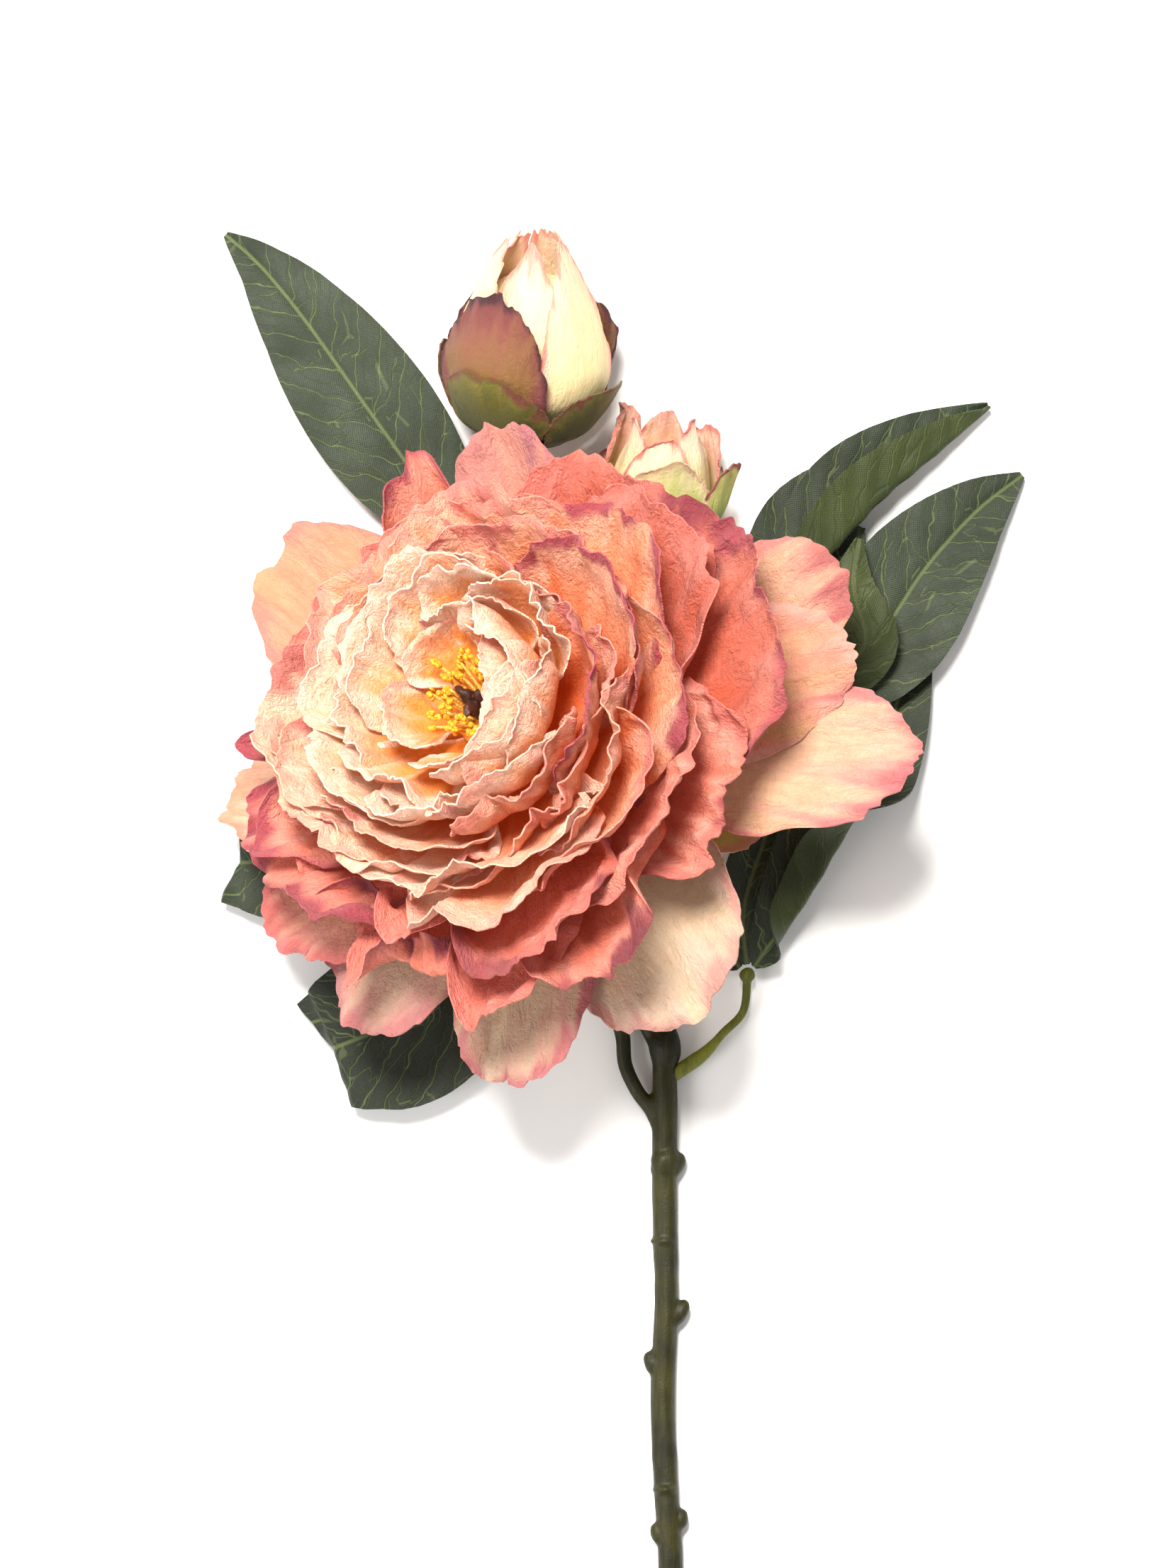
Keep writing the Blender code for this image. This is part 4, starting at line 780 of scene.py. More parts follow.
def turned_shell(outline, place_frame):
    """A solid turned round the axis of a frame, from an outline of radius and height pairs."""
    radius, height = np.array(outline, float).T[..., None]
    turn = np.linspace(0, 2 * np.pi, TURNED_SIDES, endpoint=False)
    rings = np.stack([radius * np.cos(turn), radius * np.sin(turn), height + 0 * turn], axis=-1)
    ends = np.array([(0, 0, outline[0][1]), (0, 0, outline[-1][1])])
    return ring_shell(placed(rings, place_frame), placed(ends, place_frame))


def bloom_disc(low, high, radius=CORE_RADIUS, rounding=0.6):
    """A disc with blunt edges between two heights on the bloom's axis."""
    return turned_shell([(radius - rounding, low), (radius, low + rounding), (radius, high - rounding),
                         (radius - rounding, high)], bloom_frame)


def cloth_piece(name, petals, hidden_parts, foot_dye_and_shade):
    """One piece from petals as dyed_shell gives them and the parts that they are glued to."""
    # The parts hidden under the petals take the foot colour, which is partly painted shade.
    for part in hidden_parts:
        count = len(part[0])
        petals.append((part, np.tile(np.array(foot_dye_and_shade), (count, 1)), part[0], np.zeros(count)))
    shells, colours, cloths, rims = zip(*petals)
    colours = np.concatenate(colours)
    layers = {"dye": np.concatenate([colours, np.ones((len(colours), 1))], axis=1),
              "cloth_place": np.concatenate(cloths), "rim": np.concatenate(rims)[:, None]}
    piece = mesh_piece(name, shells, layers)
    keep_edges(piece)
    return piece


def petal_piece(name, rows, first_number, crinkle, dye, grid, hidden_parts):
    """All petals of one layer of the bloom and the moulded part that they are glued to."""
    members = [(row, petal) for row in rows for petal in row.petals]
    petals = [petal_shell(row, number, petal, *grid, crinkle, dye(number, petal))
              for number, (row, petal) in enumerate(members, first_number + 1)]
    return cloth_piece(name, petals, hidden_parts, dye(first_number, rows[0].petals[0]).foot)


# Heat-crinkled cloth: long creases that run from foot to rim, small puckers near the rim, random patches of
# deeper dye and painted shade along one side of each crease. It also gives a painted glow colour for the
# emission. Place is in millimetres across and along the cloth; Rim goes from 0 at the foot to 1.
crinkle_group, given, wanted = new_group(
    "crinkled_cloth", {"Place": "vector", "Rim": "value", "Dye": "colour", "Mottle And Shade": "value"},
    {"Colour": "colour", "Painted Glow": "colour", "Height": "value", "Roughness": "value"})
creased = stretched(crinkle_group, given["Place"], (0.55, 0.16, 1.0))
creases = noise(crinkle_group, creased, 1.0, 5.0, Roughness=0.62, Distortion=0.5)
puckers = noise(crinkle_group, given["Place"], 0.55, 4.0, Roughness=0.6, Distortion=0.9)
dapple = noise(crinkle_group, given["Place"], 0.16, 3.0)
off_crease = maths(crinkle_group, "ABSOLUTE", difference(crinkle_group, creases, 0.5))
ridge = difference(crinkle_group, 1.0, product(crinkle_group, off_crease, 4.0))
near_rim = mapped(crinkle_group, given["Rim"], 0.35, 1.0, 0.25, 1.0)
pucker = product(crinkle_group, product(crinkle_group, puckers, near_rim), 1.6)
threads = grouped(crinkle_group, weave_group, {"Place": given["Place"], "Threads": 2.0})["Height"]
height = total(crinkle_group, product(crinkle_group, ridge, near_rim), pucker)
height = total(crinkle_group, height, product(crinkle_group, threads, 0.035))
crinkle_group.links.new(height, wanted["Height"])
# The dye is deepened in random patches and, as painted shade, along one side of each crease.
dapple_and_crease_shade = total(crinkle_group, mapped(crinkle_group, dapple, 0.35, 0.7, 0.0, 0.6),
                 mapped(crinkle_group, creases, 0.4, 0.62, 0.4, 0.0), clamp=True)
dapple_and_crease_shade = product(crinkle_group, dapple_and_crease_shade, given["Mottle And Shade"])
depth_and_shade = colour_mix(crinkle_group, 1.0, given["Dye"], (0.93, 0.70, 0.62), "MULTIPLY")
shown = colour_mix(crinkle_group, dapple_and_crease_shade, given["Dye"], depth_and_shade)
crinkle_group.links.new(shown, wanted["Colour"])
# Painted glow: the shown colour multiplied by itself and mixed half back, for the emission.
painted_glow_colour = colour_mix(crinkle_group, 1.0, shown, shown, "MULTIPLY")
crinkle_group.links.new(colour_mix(crinkle_group, 0.5, painted_glow_colour, shown), wanted["Painted Glow"])
crinkle_group.links.new(mapped(crinkle_group, dapple, 0.3, 0.7, 0.75, 0.58), wanted["Roughness"])


def cloth_material(name, mottle_and_shade, relief_height, glow=0.12, painted_glow=0.13):
    """Dyed and crinkled petal cloth. Light soaks through it a little, so thin places glow. It also has a
    painted glow: a faint emission of its own deepened colour, which lightens the shade in its folds.
    """
    material, tree, shader = new_material(name)
    cloth = grouped(tree, crinkle_group, {
        "Place": kept_value(tree, "cloth_place", "Vector"), "Rim": kept_value(tree, "rim"),
        "Dye": kept_value(tree, "dye", "Color"), "Mottle And Shade": mottle_and_shade})
    tree.links.new(cloth["Colour"], shader.inputs["Base Color"])
    tree.links.new(cloth["Roughness"], shader.inputs["Roughness"])
    # Painted glow: an emission of the cloth's own deepened colour, which lightens its shaded folds.
    tree.links.new(cloth["Painted Glow"], shader.inputs["Emission Color"])
    bumped(tree, shader, cloth["Height"], relief_height, 0.75)
    shader.inputs["Emission Strength"].default_value = painted_glow
    shader.inputs["Subsurface Weight"].default_value = glow
    shader.inputs["Subsurface Radius"].default_value = (0.8, 0.5, 0.35)
    shader.inputs["Subsurface Scale"].default_value = MM
    shader.inputs["Sheen Weight"].default_value = 0.06
    shader.inputs["Sheen Roughness"].default_value = 0.5
    shader.inputs["Specular IOR Level"].default_value = 0.3
    return material


def sepal_dye(number, petal):
    return Dye((0.16, 0.20, 0.035), (0.33, 0.31, 0.055), (0.40, 0.30, 0.09), (0.42, 0.20, 0.12),
               (0.22, 0.25, 0.05), (0.45, 0.17, 0.14))


sepal_cloth = cloth_material("sepal_cloth", 0.35, 0.3, 0.1, painted_glow=0.05)
calyx = turned_shell([(CALYX_FOOT_RADIUS, PIECE_GAP - NECK_END), (5.6, -6.2), (7.6, -3.9),
                      (CORE_RADIUS, -CALYX_TOP - 0.6), (CORE_RADIUS - 0.5, -CALYX_TOP)], bloom_frame)
bloom_sepals = petal_piece("bloom_sepals_cloth", [SEPAL_ROW], 200, Crinkle(0.5, 0.25, 0.9, 0.05, 0),
                           sepal_dye, (24, 22), [calyx])
stand_for(bloom_sepals, "bloom_sepals", sepal_cloth)

# GUARD PETALS
# The ten large outer petals, cut from thin cream cloth and brushed with peach and mauve-pink dye. Heat has
# crinkled and rolled their rims. They are glued in two rows to a disc on the bloom's axis.

GUARD_ROWS = [
    Row([Petal(359, 0.99, -5, 0.74), Petal(33, 0.90, 0, 0.78), Petal(94, 0.93, 36.6, 0.60),
         Petal(144, 1.04, 0, 0.88), Petal(187, 0.92, 0, 0.8), Petal(232, 0.90, 0, 0.8),
         Petal(265, 0.90, 0, 0.72)],
        84, 84, 88, 1.0, 6, 1.5, 31, 5, 12, 142, 2.0, 0.3),
    Row([Petal(18, 1.06, -4, 0.85), Petal(211, 1.04, 0, 1.0), Petal(301, 0.95, 0, 1.15)],
        72, 85, 88, 1.0, 6, 4.0, 25, 5, 10, 142, 1.6, 0.3),
]
GUARD_CORE = (-1.0, 6.4)
CREAM = (0.93, 0.72, 0.50)
PINK_CREAM = (0.92, 0.55, 0.40)
PEACH = (0.93, 0.42, 0.25)
MAUVE = (0.62, 0.20, 0.19)
BURGUNDY = (0.30, 0.055, 0.07)
GUARD_DYES = {
    359: Dye((0.88, 0.55, 0.33), (0.92, 0.58, 0.39), (0.92, 0.50, 0.38), (0.80, 0.26, 0.24), PEACH,
             (0.66, 0.20, 0.22)),
    33: Dye((0.90, 0.55, 0.33), (0.92, 0.52, 0.34), (0.92, 0.42, 0.32), (0.85, 0.25, 0.21), PEACH, MAUVE),
    94: Dye(PEACH, (0.86, 0.36, 0.28), (0.80, 0.34, 0.29), (0.72, 0.28, 0.25), PEACH, (0.60, 0.22, 0.24)),
    144: Dye(PEACH, (0.78, 0.36, 0.20), (0.80, 0.42, 0.26), (0.78, 0.32, 0.24), PINK_CREAM,
             (0.80, 0.45, 0.25)),
    187: Dye((0.80, 0.62, 0.36), (0.90, 0.72, 0.50), (0.88, 0.62, 0.44), (0.82, 0.42, 0.30), CREAM, PEACH),
    211: Dye(PEACH, (0.90, 0.45, 0.30), (0.86, 0.34, 0.26), (0.76, 0.20, 0.18), PINK_CREAM, MAUVE),
    232: Dye((0.80, 0.60, 0.36), (0.88, 0.60, 0.44), (0.82, 0.42, 0.34), (0.70, 0.26, 0.25), CREAM, MAUVE),
    265: Dye((0.80, 0.58, 0.34), (0.93, 0.74, 0.52), (0.90, 0.56, 0.42), (0.72, 0.25, 0.25), PEACH,
             (0.66, 0.20, 0.22)),
    18: Dye((0.84, 0.50, 0.24), (0.92, 0.46, 0.29), (0.93, 0.40, 0.28), (0.92, 0.46, 0.36), PEACH, MAUVE),
    301: Dye((0.80, 0.62, 0.38), CREAM, (0.90, 0.66, 0.50), (0.86, 0.44, 0.36), PINK_CREAM,
             (0.80, 0.40, 0.36)),
}


def guard_dye(number, petal):
    # Painted shade: the lower petals, at azimuths 232, 265 and 301, are darkened more than the rest.
    depth_and_shade = 0.66 if petal.azimuth in (265, 301, 232) else 0.77
    return Dye(*(depth_and_shade * np.array(colour) for colour in GUARD_DYES[petal.azimuth]))


guard_cloth = cloth_material("guard_petal_cloth", 0.5, 0.9)
guard_petals = petal_piece("guard_petals_cloth", GUARD_ROWS, 0, Crinkle(2.4, 0.5, 1.3, 0.07, 0), guard_dye,
                           (52, 44), [bloom_disc(*GUARD_CORE)])
stand_for(guard_petals, "guard_petals", guard_cloth)

# CORAL PETALS
# Two full rows of coral cloth petals, the most strongly dyed of the bloom. Their rims are crumpled by heat
# and tipped with burgundy here and there.

CORAL_ROWS = [
    Row([Petal(22, 1.05, 0, 1.0), Petal(65, 0.98, 6, 1.0), Petal(111, 1.04, 12, 1.0),
         Petal(165, 1.09, 2, 1.0), Petal(210, 1.0, 2, 1.0), Petal(257, 1.08, 2, 1.0),
         Petal(300, 1.02, 6, 1.0), Petal(338, 0.88, 6, 0.9)],
        65, 85, 60, 1.2, 7, 10.0, 34, 9, 7, 142, 1.4, 0.14),
    Row([Petal(43, 1.08, 2, 1.0), Petal(91, 1.0, 8, 1.0), Petal(139, 1.0, 0, 0.95), Petal(187, 1.02, 0, 1.0),
         Petal(234, 1.0, 0, 1.0), Petal(281, 1.05, 4, 1.0), Petal(326, 0.98, 8, 1.0)],
        61, 82.5, 48, 1.3, 7, 13.0, 32, 9, 2, 142, 1.4, 0.14),
]
CORAL_CORE = (6.7, 16.5)
BURGUNDY_TIPPED = (22, 91, 111, 165, 187, 210)


def blend(first, second, share):
    """A colour at a share of the way from one to another."""
    return np.array(first) * (1 - share) + np.array(second) * share


def coral_dye(number, petal):
    warm = 0.5 + 0.5 * uneven(number, 19)
    # Painted shade: the petals on the right, below azimuth 70, are darkened.
    depth_and_shade = 0.84 if petal.azimuth < 70 else 1.0
    body = depth_and_shade * blend((0.80, 0.18, 0.11), (0.86, 0.27, 0.18), warm)
    rim = depth_and_shade * blend((0.82, 0.23, 0.17), (0.90, 0.38, 0.28), warm)
    tip = (0.42, 0.08, 0.10) if petal.azimuth in BURGUNDY_TIPPED else (0.78, 0.22, 0.17)
    return Dye((0.62, 0.09, 0.025), body, rim, tip, (0.84, 0.26, 0.17), BURGUNDY)


coral_cloth = cloth_material("coral_petal_cloth", 0.6, 1.3)
coral_petals = petal_piece("coral_petals_cloth", CORAL_ROWS, 20, Crinkle(4.2, 1.0, 1.7, 0.1, 2.3), coral_dye,
                           (54, 42), [bloom_disc(*CORAL_CORE)])
stand_for(coral_petals, "coral_petals", coral_cloth)

# PEACH PETALS
# Four rows of upright peach cloth petals with cream rims, glued to one disc on the bloom's axis. They are
# so crowded that they press each other into folds.

PRESSED_ASIDE = 4.5
PRESSED_LONGER = 0.075
PEACH_CORE = (16.8, 29.1)


def pressed_petal(azimuth, number, lift=0.0):
    """A petal that its neighbours have pushed a little out of its even place."""
    return Petal(azimuth + PRESSED_ASIDE * uneven(number, 41), 1.0 + PRESSED_LONGER * uneven(number, 43),
                 lift, 1.0)


PEACH_ROWS = [
    Row([pressed_petal(10 + 45 * step, step) for step in range(8)],
        56, 82, 25, 1.3, 7, 19.5, 31, 7, -1, 15, 1.0, 0.14),
    Row([pressed_petal(33 + 60 * step, 10 + step) for step in range(6)],
        53, 80.5, 20, 1.3, 7, 20.8, 30, 7, 3, 15, 1.0, 0.14),
    Row([pressed_petal(31 + 360 / 7 * step, 20 + step) for step in range(7)],
        51, 79, 15, 1.3, 7, 22.0, 29, 8, 6, 15, 0.9, 0.14),
    Row([pressed_petal(2 + 60 * step, 30 + step) for step in range(6)],
        46, 75, 4, 1.3, 7, 24.5, 27, 7, 9, 15, 0.8, 0.14),
]


def peach_dye(number, petal):
    # Painted light: petals towards the lower left, round azimuth 225, are dyed paler and creamier as the lit
    # side of the bloom, with a random share mixed in.
    lit_side = 0.5 + 0.5 * math.cos(math.radians(petal.azimuth - 225))
    warm = min(max(0.75 * lit_side + 0.25 * uneven(number, 23), 0), 1)
    body = blend((0.99, 0.39, 0.20), (1.0, 0.60, 0.37), warm)
    rim = blend((1.0, 0.46, 0.30), (1.0, 0.77, 0.58), warm)
    tip = (0.42, 0.07, 0.09) if petal.azimuth < 60 else blend((0.88, 0.27, 0.21), (1.0, 0.62, 0.45), warm)
    return Dye((0.80, 0.15, 0.02), body, rim, tip, (0.96, 0.38, 0.22), (0.74, 0.24, 0.20))


peach_cloth = cloth_material("peach_petal_cloth", 0.55, 1.2, 0.17)
peach_petals = petal_piece("peach_petals_cloth", PEACH_ROWS, 50, Crinkle(3.8, 0.7, 1.5, 0.09, 0), peach_dye,
                           (46, 34), [bloom_disc(*PEACH_CORE)])
stand_for(peach_petals, "peach_petals", peach_cloth)

# CREAM PETALS
# Five rows of small cream and apricot petals that stand round the stamens like a cup. Their disc sits on
# that of the peach petals.

CREAM_ROWS = [
    Row([pressed_petal(50 + 60 * step, 40 + step) for step in range(6)],
        43, 73.5, -2, 1.3, 7, 30.4, 22, 7, 12, 15, 1.2, 0.2),
    Row([pressed_petal(24, 50, 13), pressed_petal(84, 51, 5), pressed_petal(144, 52), pressed_petal(204, 53),
         pressed_petal(264, 54), pressed_petal(324, 55, 12)],
        41, 72, -9, 1.3, 7, 31.5, 21, 7, 14, 15, 1.2, 0.2),
    Row([Petal(44, 1.0, 11, 1.0), Petal(116, 1.0, 0, 1.0), Petal(188, 1.0, 0, 1.0), Petal(260, 1.0, 0, 1.0),
         Petal(340, 1.0, 12, 1.0)],
        38, 69, -10, 1.3, 6.8, 32.5, 19, 7, 15, 15, 1.1, 0.2),
    Row([Petal(8, 1.0, 13, 1.0), Petal(80, 1.0, 4, 1.0), Petal(152, 1.0, 0, 1.0), Petal(224, 1.0, 0, 1.0),
         Petal(296, 1.0, 7, 1.0)],
        35, 66, -12, 1.3, 6.5, 33.5, 18, 8, 16, 15, 1.0, 0.2),
    Row([Petal(50 + 72 * step, 1.0, 0.0, 1.0) for step in range(5)],
        24, 57, -4, 1.2, 6.5, 35.5, 13, 8, 9, 15, 0.8, 0.2),
]
CREAM_CORE = (29.4, 36.6)


def cream_dye(number, petal):
    warm = 0.5 + 0.5 * uneven(number, 29)
    # Painted light: petals towards the lower left, round azimuth 225, are made paler as the lit side of the
    # bloom.
    pale = 0.35 + 0.35 * math.cos(math.radians(petal.azimuth - 225))
    body = blend(blend((1.0, 0.44, 0.21), (1.0, 0.55, 0.30), warm), (1.0, 0.70, 0.50), pale)
    return Dye((0.90, 0.30, 0.04), body, (1.0, 0.70, 0.51), (1.0, 0.68, 0.52), (0.98, 0.52, 0.34),
               (0.94, 0.44, 0.33))


cream_cloth = cloth_material("cream_petal_cloth", 0.5, 1.0, 0.17)
cream_petals = petal_piece("cream_petals_cloth", CREAM_ROWS, 90, Crinkle(2.6, 0.5, 1.4, 0.09, 0), cream_dye,
                           (42, 34), [bloom_disc(*CREAM_CORE)])
stand_for(cream_petals, "cream_petals", cream_cloth)

# STAMENS
# Two rings of stiff yellow threads glued into a small disc. Each thread was dipped in golden crumbs, which
# make its anther.

STAMEN_DISC = (36.9, 38.4)
STAMEN_LENGTH = 14.0
STAMEN_RING = 5.2
STAMEN_RINGS = [(16, 20.0), (22, 15.0)]
SPREAD_UNEVENNESS = 9.0
FILAMENT_RADIUS = 0.45
FILAMENT_DEPTH = 0.8
CRUMBS = 5
CRUMB_SCATTER = 0.75
bloom_turn = bloom_frame.to_3x3()
shells = [bloom_disc(*STAMEN_DISC, STAMEN_RING + 1.3, 0.3)]
tones = [np.zeros(len(shells[0][0]))]
for ring, (count, even_spread) in enumerate(STAMEN_RINGS):
    for number in range(count):
        trait = number + 40 * ring
        azimuth = 2 * math.pi * (number + 0.5 * ring) / count
        outward = Vector((math.cos(azimuth), math.sin(azimuth), 0))
        spread = math.radians(even_spread + SPREAD_UNEVENNESS * uneven(trait, 5 if ring else 2))
        way = math.sin(spread) * outward + math.cos(spread) * Vector((0, 0, 1))
        foot = outward * (STAMEN_RING + 0.6 * uneven(trait, 9) - 0.8 * ring)
        foot += Vector((0, 0, STAMEN_DISC[1] - FILAMENT_DEPTH))
        head = foot + way * (STAMEN_LENGTH * (0.85 + 0.15 * uneven(trait, 4) - 0.12 * ring))
        middle = foot.lerp(head, 0.55) + 0.5 * uneven(trait, 6) * outward.cross(Vector((0, 0, 1)))
        stops = [bloom_frame @ foot, bloom_frame @ middle, bloom_frame @ head]
        shells.append(stalk_shell(stops, [FILAMENT_RADIUS, 0.8 * FILAMENT_RADIUS], 1.5, 8))
        tones.append(np.zeros(len(shells[-1][0])))
        for crumb in range(CRUMBS):
            shift = Vector((uneven(trait, 11 + crumb), uneven(trait, 17 + crumb),
                            1.5 * uneven(trait, 23 + crumb)))
            radius = 0.62 + 0.2 * uneven(trait, 31 + crumb)
            centre = bloom_frame @ (head + CRUMB_SCATTER * shift)
            shells.append(swelling_shell(centre, bloom_turn @ way, radius, 0.95, 0.5, trait + crumb, 10, 8))
            tones.append(np.ones(len(shells[-1][0])))
stamens = mesh_piece("stamens_fibre", shells, {"shade_and_tone": np.concatenate(tones)[:, None]})
stamen_fibre, tree, shader = new_material("stamen_fibre")
crumbs = noise(tree, add(tree, "ShaderNodeTexCoord").outputs["Object"], 1400.0, 3.0)
crumbly = mapped(tree, crumbs, 0.35, 0.65)
golden = colour_mix(tree, crumbly, (0.62, 0.20, 0.004), (0.93, 0.47, 0.02))
thread = colour_mix(tree, crumbly, (0.80, 0.42, 0.06), (0.90, 0.55, 0.13))
tree.links.new(colour_mix(tree, kept_value(tree, "shade_and_tone"), thread, golden), shader.inputs["Base Color"])
tree.links.new(mapped(tree, crumbs, 0.3, 0.7, 0.8, 0.5), shader.inputs["Roughness"])
bumped(tree, shader, crumbs, 0.5, 1.0)
stand_for(stamens, "stamens", stamen_fibre)

# CARPELS
# Three dark brown seed cases moulded in one piece on a small foot, in the middle of the stamens. Each ends
# in a stigma that is bent outward.

CARPEL_COUNT = 3
CARPEL_LENGTH = 9.0
CARPEL_RADIUS = 1.9
CARPEL_RING = 1.7
CARPEL_GRAIN = 0.2
base = STAMEN_DISC[1] + PIECE_GAP
shells = [bloom_disc(base, base + 1.6, 3.0, 0.3)]
for number in range(CARPEL_COUNT):
    azimuth = 2 * math.pi * number / CARPEL_COUNT + 0.4
    outward = Vector((math.cos(azimuth), math.sin(azimuth), 0))
    way = (Vector((0, 0, 1)) + 0.16 * outward).normalized()
    centre = outward * CARPEL_RING + Vector((0, 0, base + 0.5 * CARPEL_LENGTH))
    shells.append(swelling_shell(bloom_frame @ centre, bloom_turn @ way, CARPEL_RADIUS, 0.5 * CARPEL_LENGTH,
                                 0.16, number, 28, 20))
    tip = centre + way * (0.5 * CARPEL_LENGTH - 0.8) + outward
    shells.append(swelling_shell(bloom_frame @ tip, bloom_turn @ outward, 0.5 * CARPEL_RADIUS, CARPEL_RADIUS,
                                 0.3, number + 5, 20, 14))
carpels = mesh_piece("carpels_plastic", shells)
moulded(carpels, CARPEL_GRAIN, 2)
carpel_plastic = plastic_material("carpel_plastic", (0.018, 0.006, 0.004), (0.07, 0.022, 0.012), 0.25)
stand_for(carpels, "carpels", carpel_plastic)

# TOP BUD
# A closed bud: a stuffed middle with six cream petals wrapped tightly round it, three mauve-brown inner
# sepals over them and four olive outer sepals at the foot, each set glued to its own cup on the arm.

BUD_LENGTH = 52.0
BUD_RADIUS = 20.0
FOOT_TUCK = 2.5
FOOT_SPAN = 0.78
Wrap = namedtuple("Wrap", "azimuth half_span foot top offset flare")
BUD_PETALS = [
    Wrap(20, 57, 0.1, 0.97, -3.8, -0.4), Wrap(140, 57, 0.1, 0.98, -3.8, -0.4),
    Wrap(260, 57, 0.1, 0.96, -3.8, -0.4), Wrap(80, 50, 0.1, 0.99, -1.4, 0),
    Wrap(200, 50, 0.1, 0.97, -1.4, 0), Wrap(318, 46, 0.1, 1.0, -1.4, 0),
]
BUD_INNER_SEPALS = [
    Wrap(236, 53, 0.06, 0.76, 1.1, 0), Wrap(40, 40, 0.06, 0.60, 0.6, 0), Wrap(130, 34, 0.06, 0.66, 0.6, 0),
]
BUD_SEPALS = [
    Wrap(240, 50, 0.02, 0.42, 2.6, 0), Wrap(326, 46, 0.02, 0.36, 2.6, 1.2), Wrap(60, 44, 0.02, 0.38, 2.6, 0),
    Wrap(150, 42, 0.02, 0.40, 2.6, 0),
]


def bud_swell(share):
    """Radius of a closed bud at a share of its length, as a part of its widest."""
    low = 0.45 + 0.55 * np.sin(0.5 * np.pi * np.minimum(share, 0.4) / 0.4)
    high = 1.0 - 0.6 * (np.maximum(share - 0.4, 0) / 0.6) ** 1.7
    return np.where(share < 0.4, low, high)


def wrap_shell(place_frame, length, radius, wrap, number, grid, crinkle, dye):
    """A petal or sepal wrapped round a bud, as dyed_shell gives it."""
    up, out, reach = petal_grid(*grid, flip=True)
    turn = np.arctan2(out, up + 0.05)
    size = 0.5 * (wrap.top - wrap.foot) * length
    up_now, out_now, away, folded = rolled_rim(up, out, reach, turn, size, crinkle, number)
    share = wrap.foot + (wrap.top - wrap.foot) * up_now
    spread = wrap.half_span * (FOOT_SPAN + (1.0 - FOOT_SPAN) * ease(up_now / 0.5))
    around = np.radians(wrap.azimuth + out_now * spread)
    tuck = FOOT_TUCK * (1.0 - ease(up_now / 0.2))
    wide = out_now * np.radians(spread) * radius
    ring = radius * bud_swell(share) + wrap.offset - tuck + wrap.flare * up_now ** 4 - away
    ring = ring + crinkles(up, out, reach, turn, wide, up_now * 2 * size, crinkle, number)
    local = np.stack([ring * np.cos(around), ring * np.sin(around), share * length], axis=-1)
    return dyed_shell(placed(local, place_frame), wide, up * 2 * size, reach, turn, up, dye, number, folded)


def wrap_piece(name, place_frame, length, radius, wraps, first_number, grid, crinkle, dye, hidden_parts):
    """One set of wrapped petals or sepals and the parts that they are glued to."""
    petals = [wrap_shell(place_frame, length, radius, wrap, number, grid, crinkle, dye(number, wrap))
              for number, wrap in enumerate(wraps, first_number)]
    return cloth_piece(name, petals, hidden_parts, dye(first_number, wraps[0]).foot)


def axis_frame(seat, axis):
    """A frame whose own Z runs along axis and whose X lies level, to the right of it."""
    right = axis.cross(Vector((0, 0, 1))).normalized()
    return Matrix.Translation(seat) @ Matrix((right, axis.cross(right), axis)).transposed().to_4x4()


def bud_middle(place_frame, length, radius, foot, top):
    """The stuffed middle of a bud."""
    heights = np.linspace(-1, 1, 18)[1:-1]
    shares = foot + (top - foot) * 0.5 * (heights + 1)
    rings = radius * bud_swell(shares) * np.minimum(1.0, 1.6 * np.sqrt(1 - heights ** 2))
    return turned_shell(list(zip(rings, shares * length)), place_frame)


def bud_petal_dye(number, wrap):
    body = blend((0.82, 0.60, 0.41), (0.87, 0.72, 0.55), 0.5 + 0.5 * uneven(number, 31))
    return Dye((0.84, 0.72, 0.38), body, (0.90, 0.60, 0.42), (0.82, 0.32, 0.24), (0.90, 0.66, 0.46),
               (0.90, 0.42, 0.34))


def inner_sepal_dye(number, wrap):
    return Dye((0.21, 0.11, 0.03), (0.22, 0.065, 0.048), (0.17, 0.042, 0.036), (0.05, 0.010, 0.014),
               (0.26, 0.14, 0.05), (0.13, 0.03, 0.035))


def outer_sepal_dye(number, wrap):
    return Dye((0.055, 0.06, 0.005), (0.10, 0.096, 0.008), (0.14, 0.12, 0.014), (0.12, 0.06, 0.02),
               (0.16, 0.14, 0.03), (0.13, 0.04, 0.02))


bud_frame = axis_frame(BUD_SEAT, BUD_AXIS)
bud_size = (bud_frame, BUD_LENGTH, BUD_RADIUS)
bud_petal_cloth = cloth_material("bud_petal_cloth", 0.4, 0.4, painted_glow=0.05)
inner_sepal_cloth = cloth_material("inner_sepal_cloth", 0.5, 0.4, 0.1, painted_glow=0.05)
bud_core = bud_middle(bud_frame, BUD_LENGTH, BUD_RADIUS - 6.5, 0.09, 0.8)
bud_foot = turned_shell([(9.0, 4.4), (9.4, 4.9), (12.0, 6.9), (11.6, 7.3)], bud_frame)
top_bud_petals = wrap_piece("top_bud_petals_cloth", *bud_size, BUD_PETALS, 301, (36, 36),
                            Crinkle(1.1, 0.3, 1.0, 0.10, 0), bud_petal_dye, [bud_core, bud_foot])
stand_for(top_bud_petals, "top_bud_petals", bud_petal_cloth)
inner_cup = turned_shell([(8.3, 2.1), (8.6, 2.4), (11.3, 3.6), (11.0, 3.9)], bud_frame)
inner_sepals = wrap_piece("top_bud_inner_sepals_cloth", *bud_size, BUD_INNER_SEPALS, 321, (34, 32),
                          Crinkle(0.8, 0.45, 0.9, 0.12, 0), inner_sepal_dye, [inner_cup])
stand_for(inner_sepals, "top_bud_inner_sepals", inner_sepal_cloth)
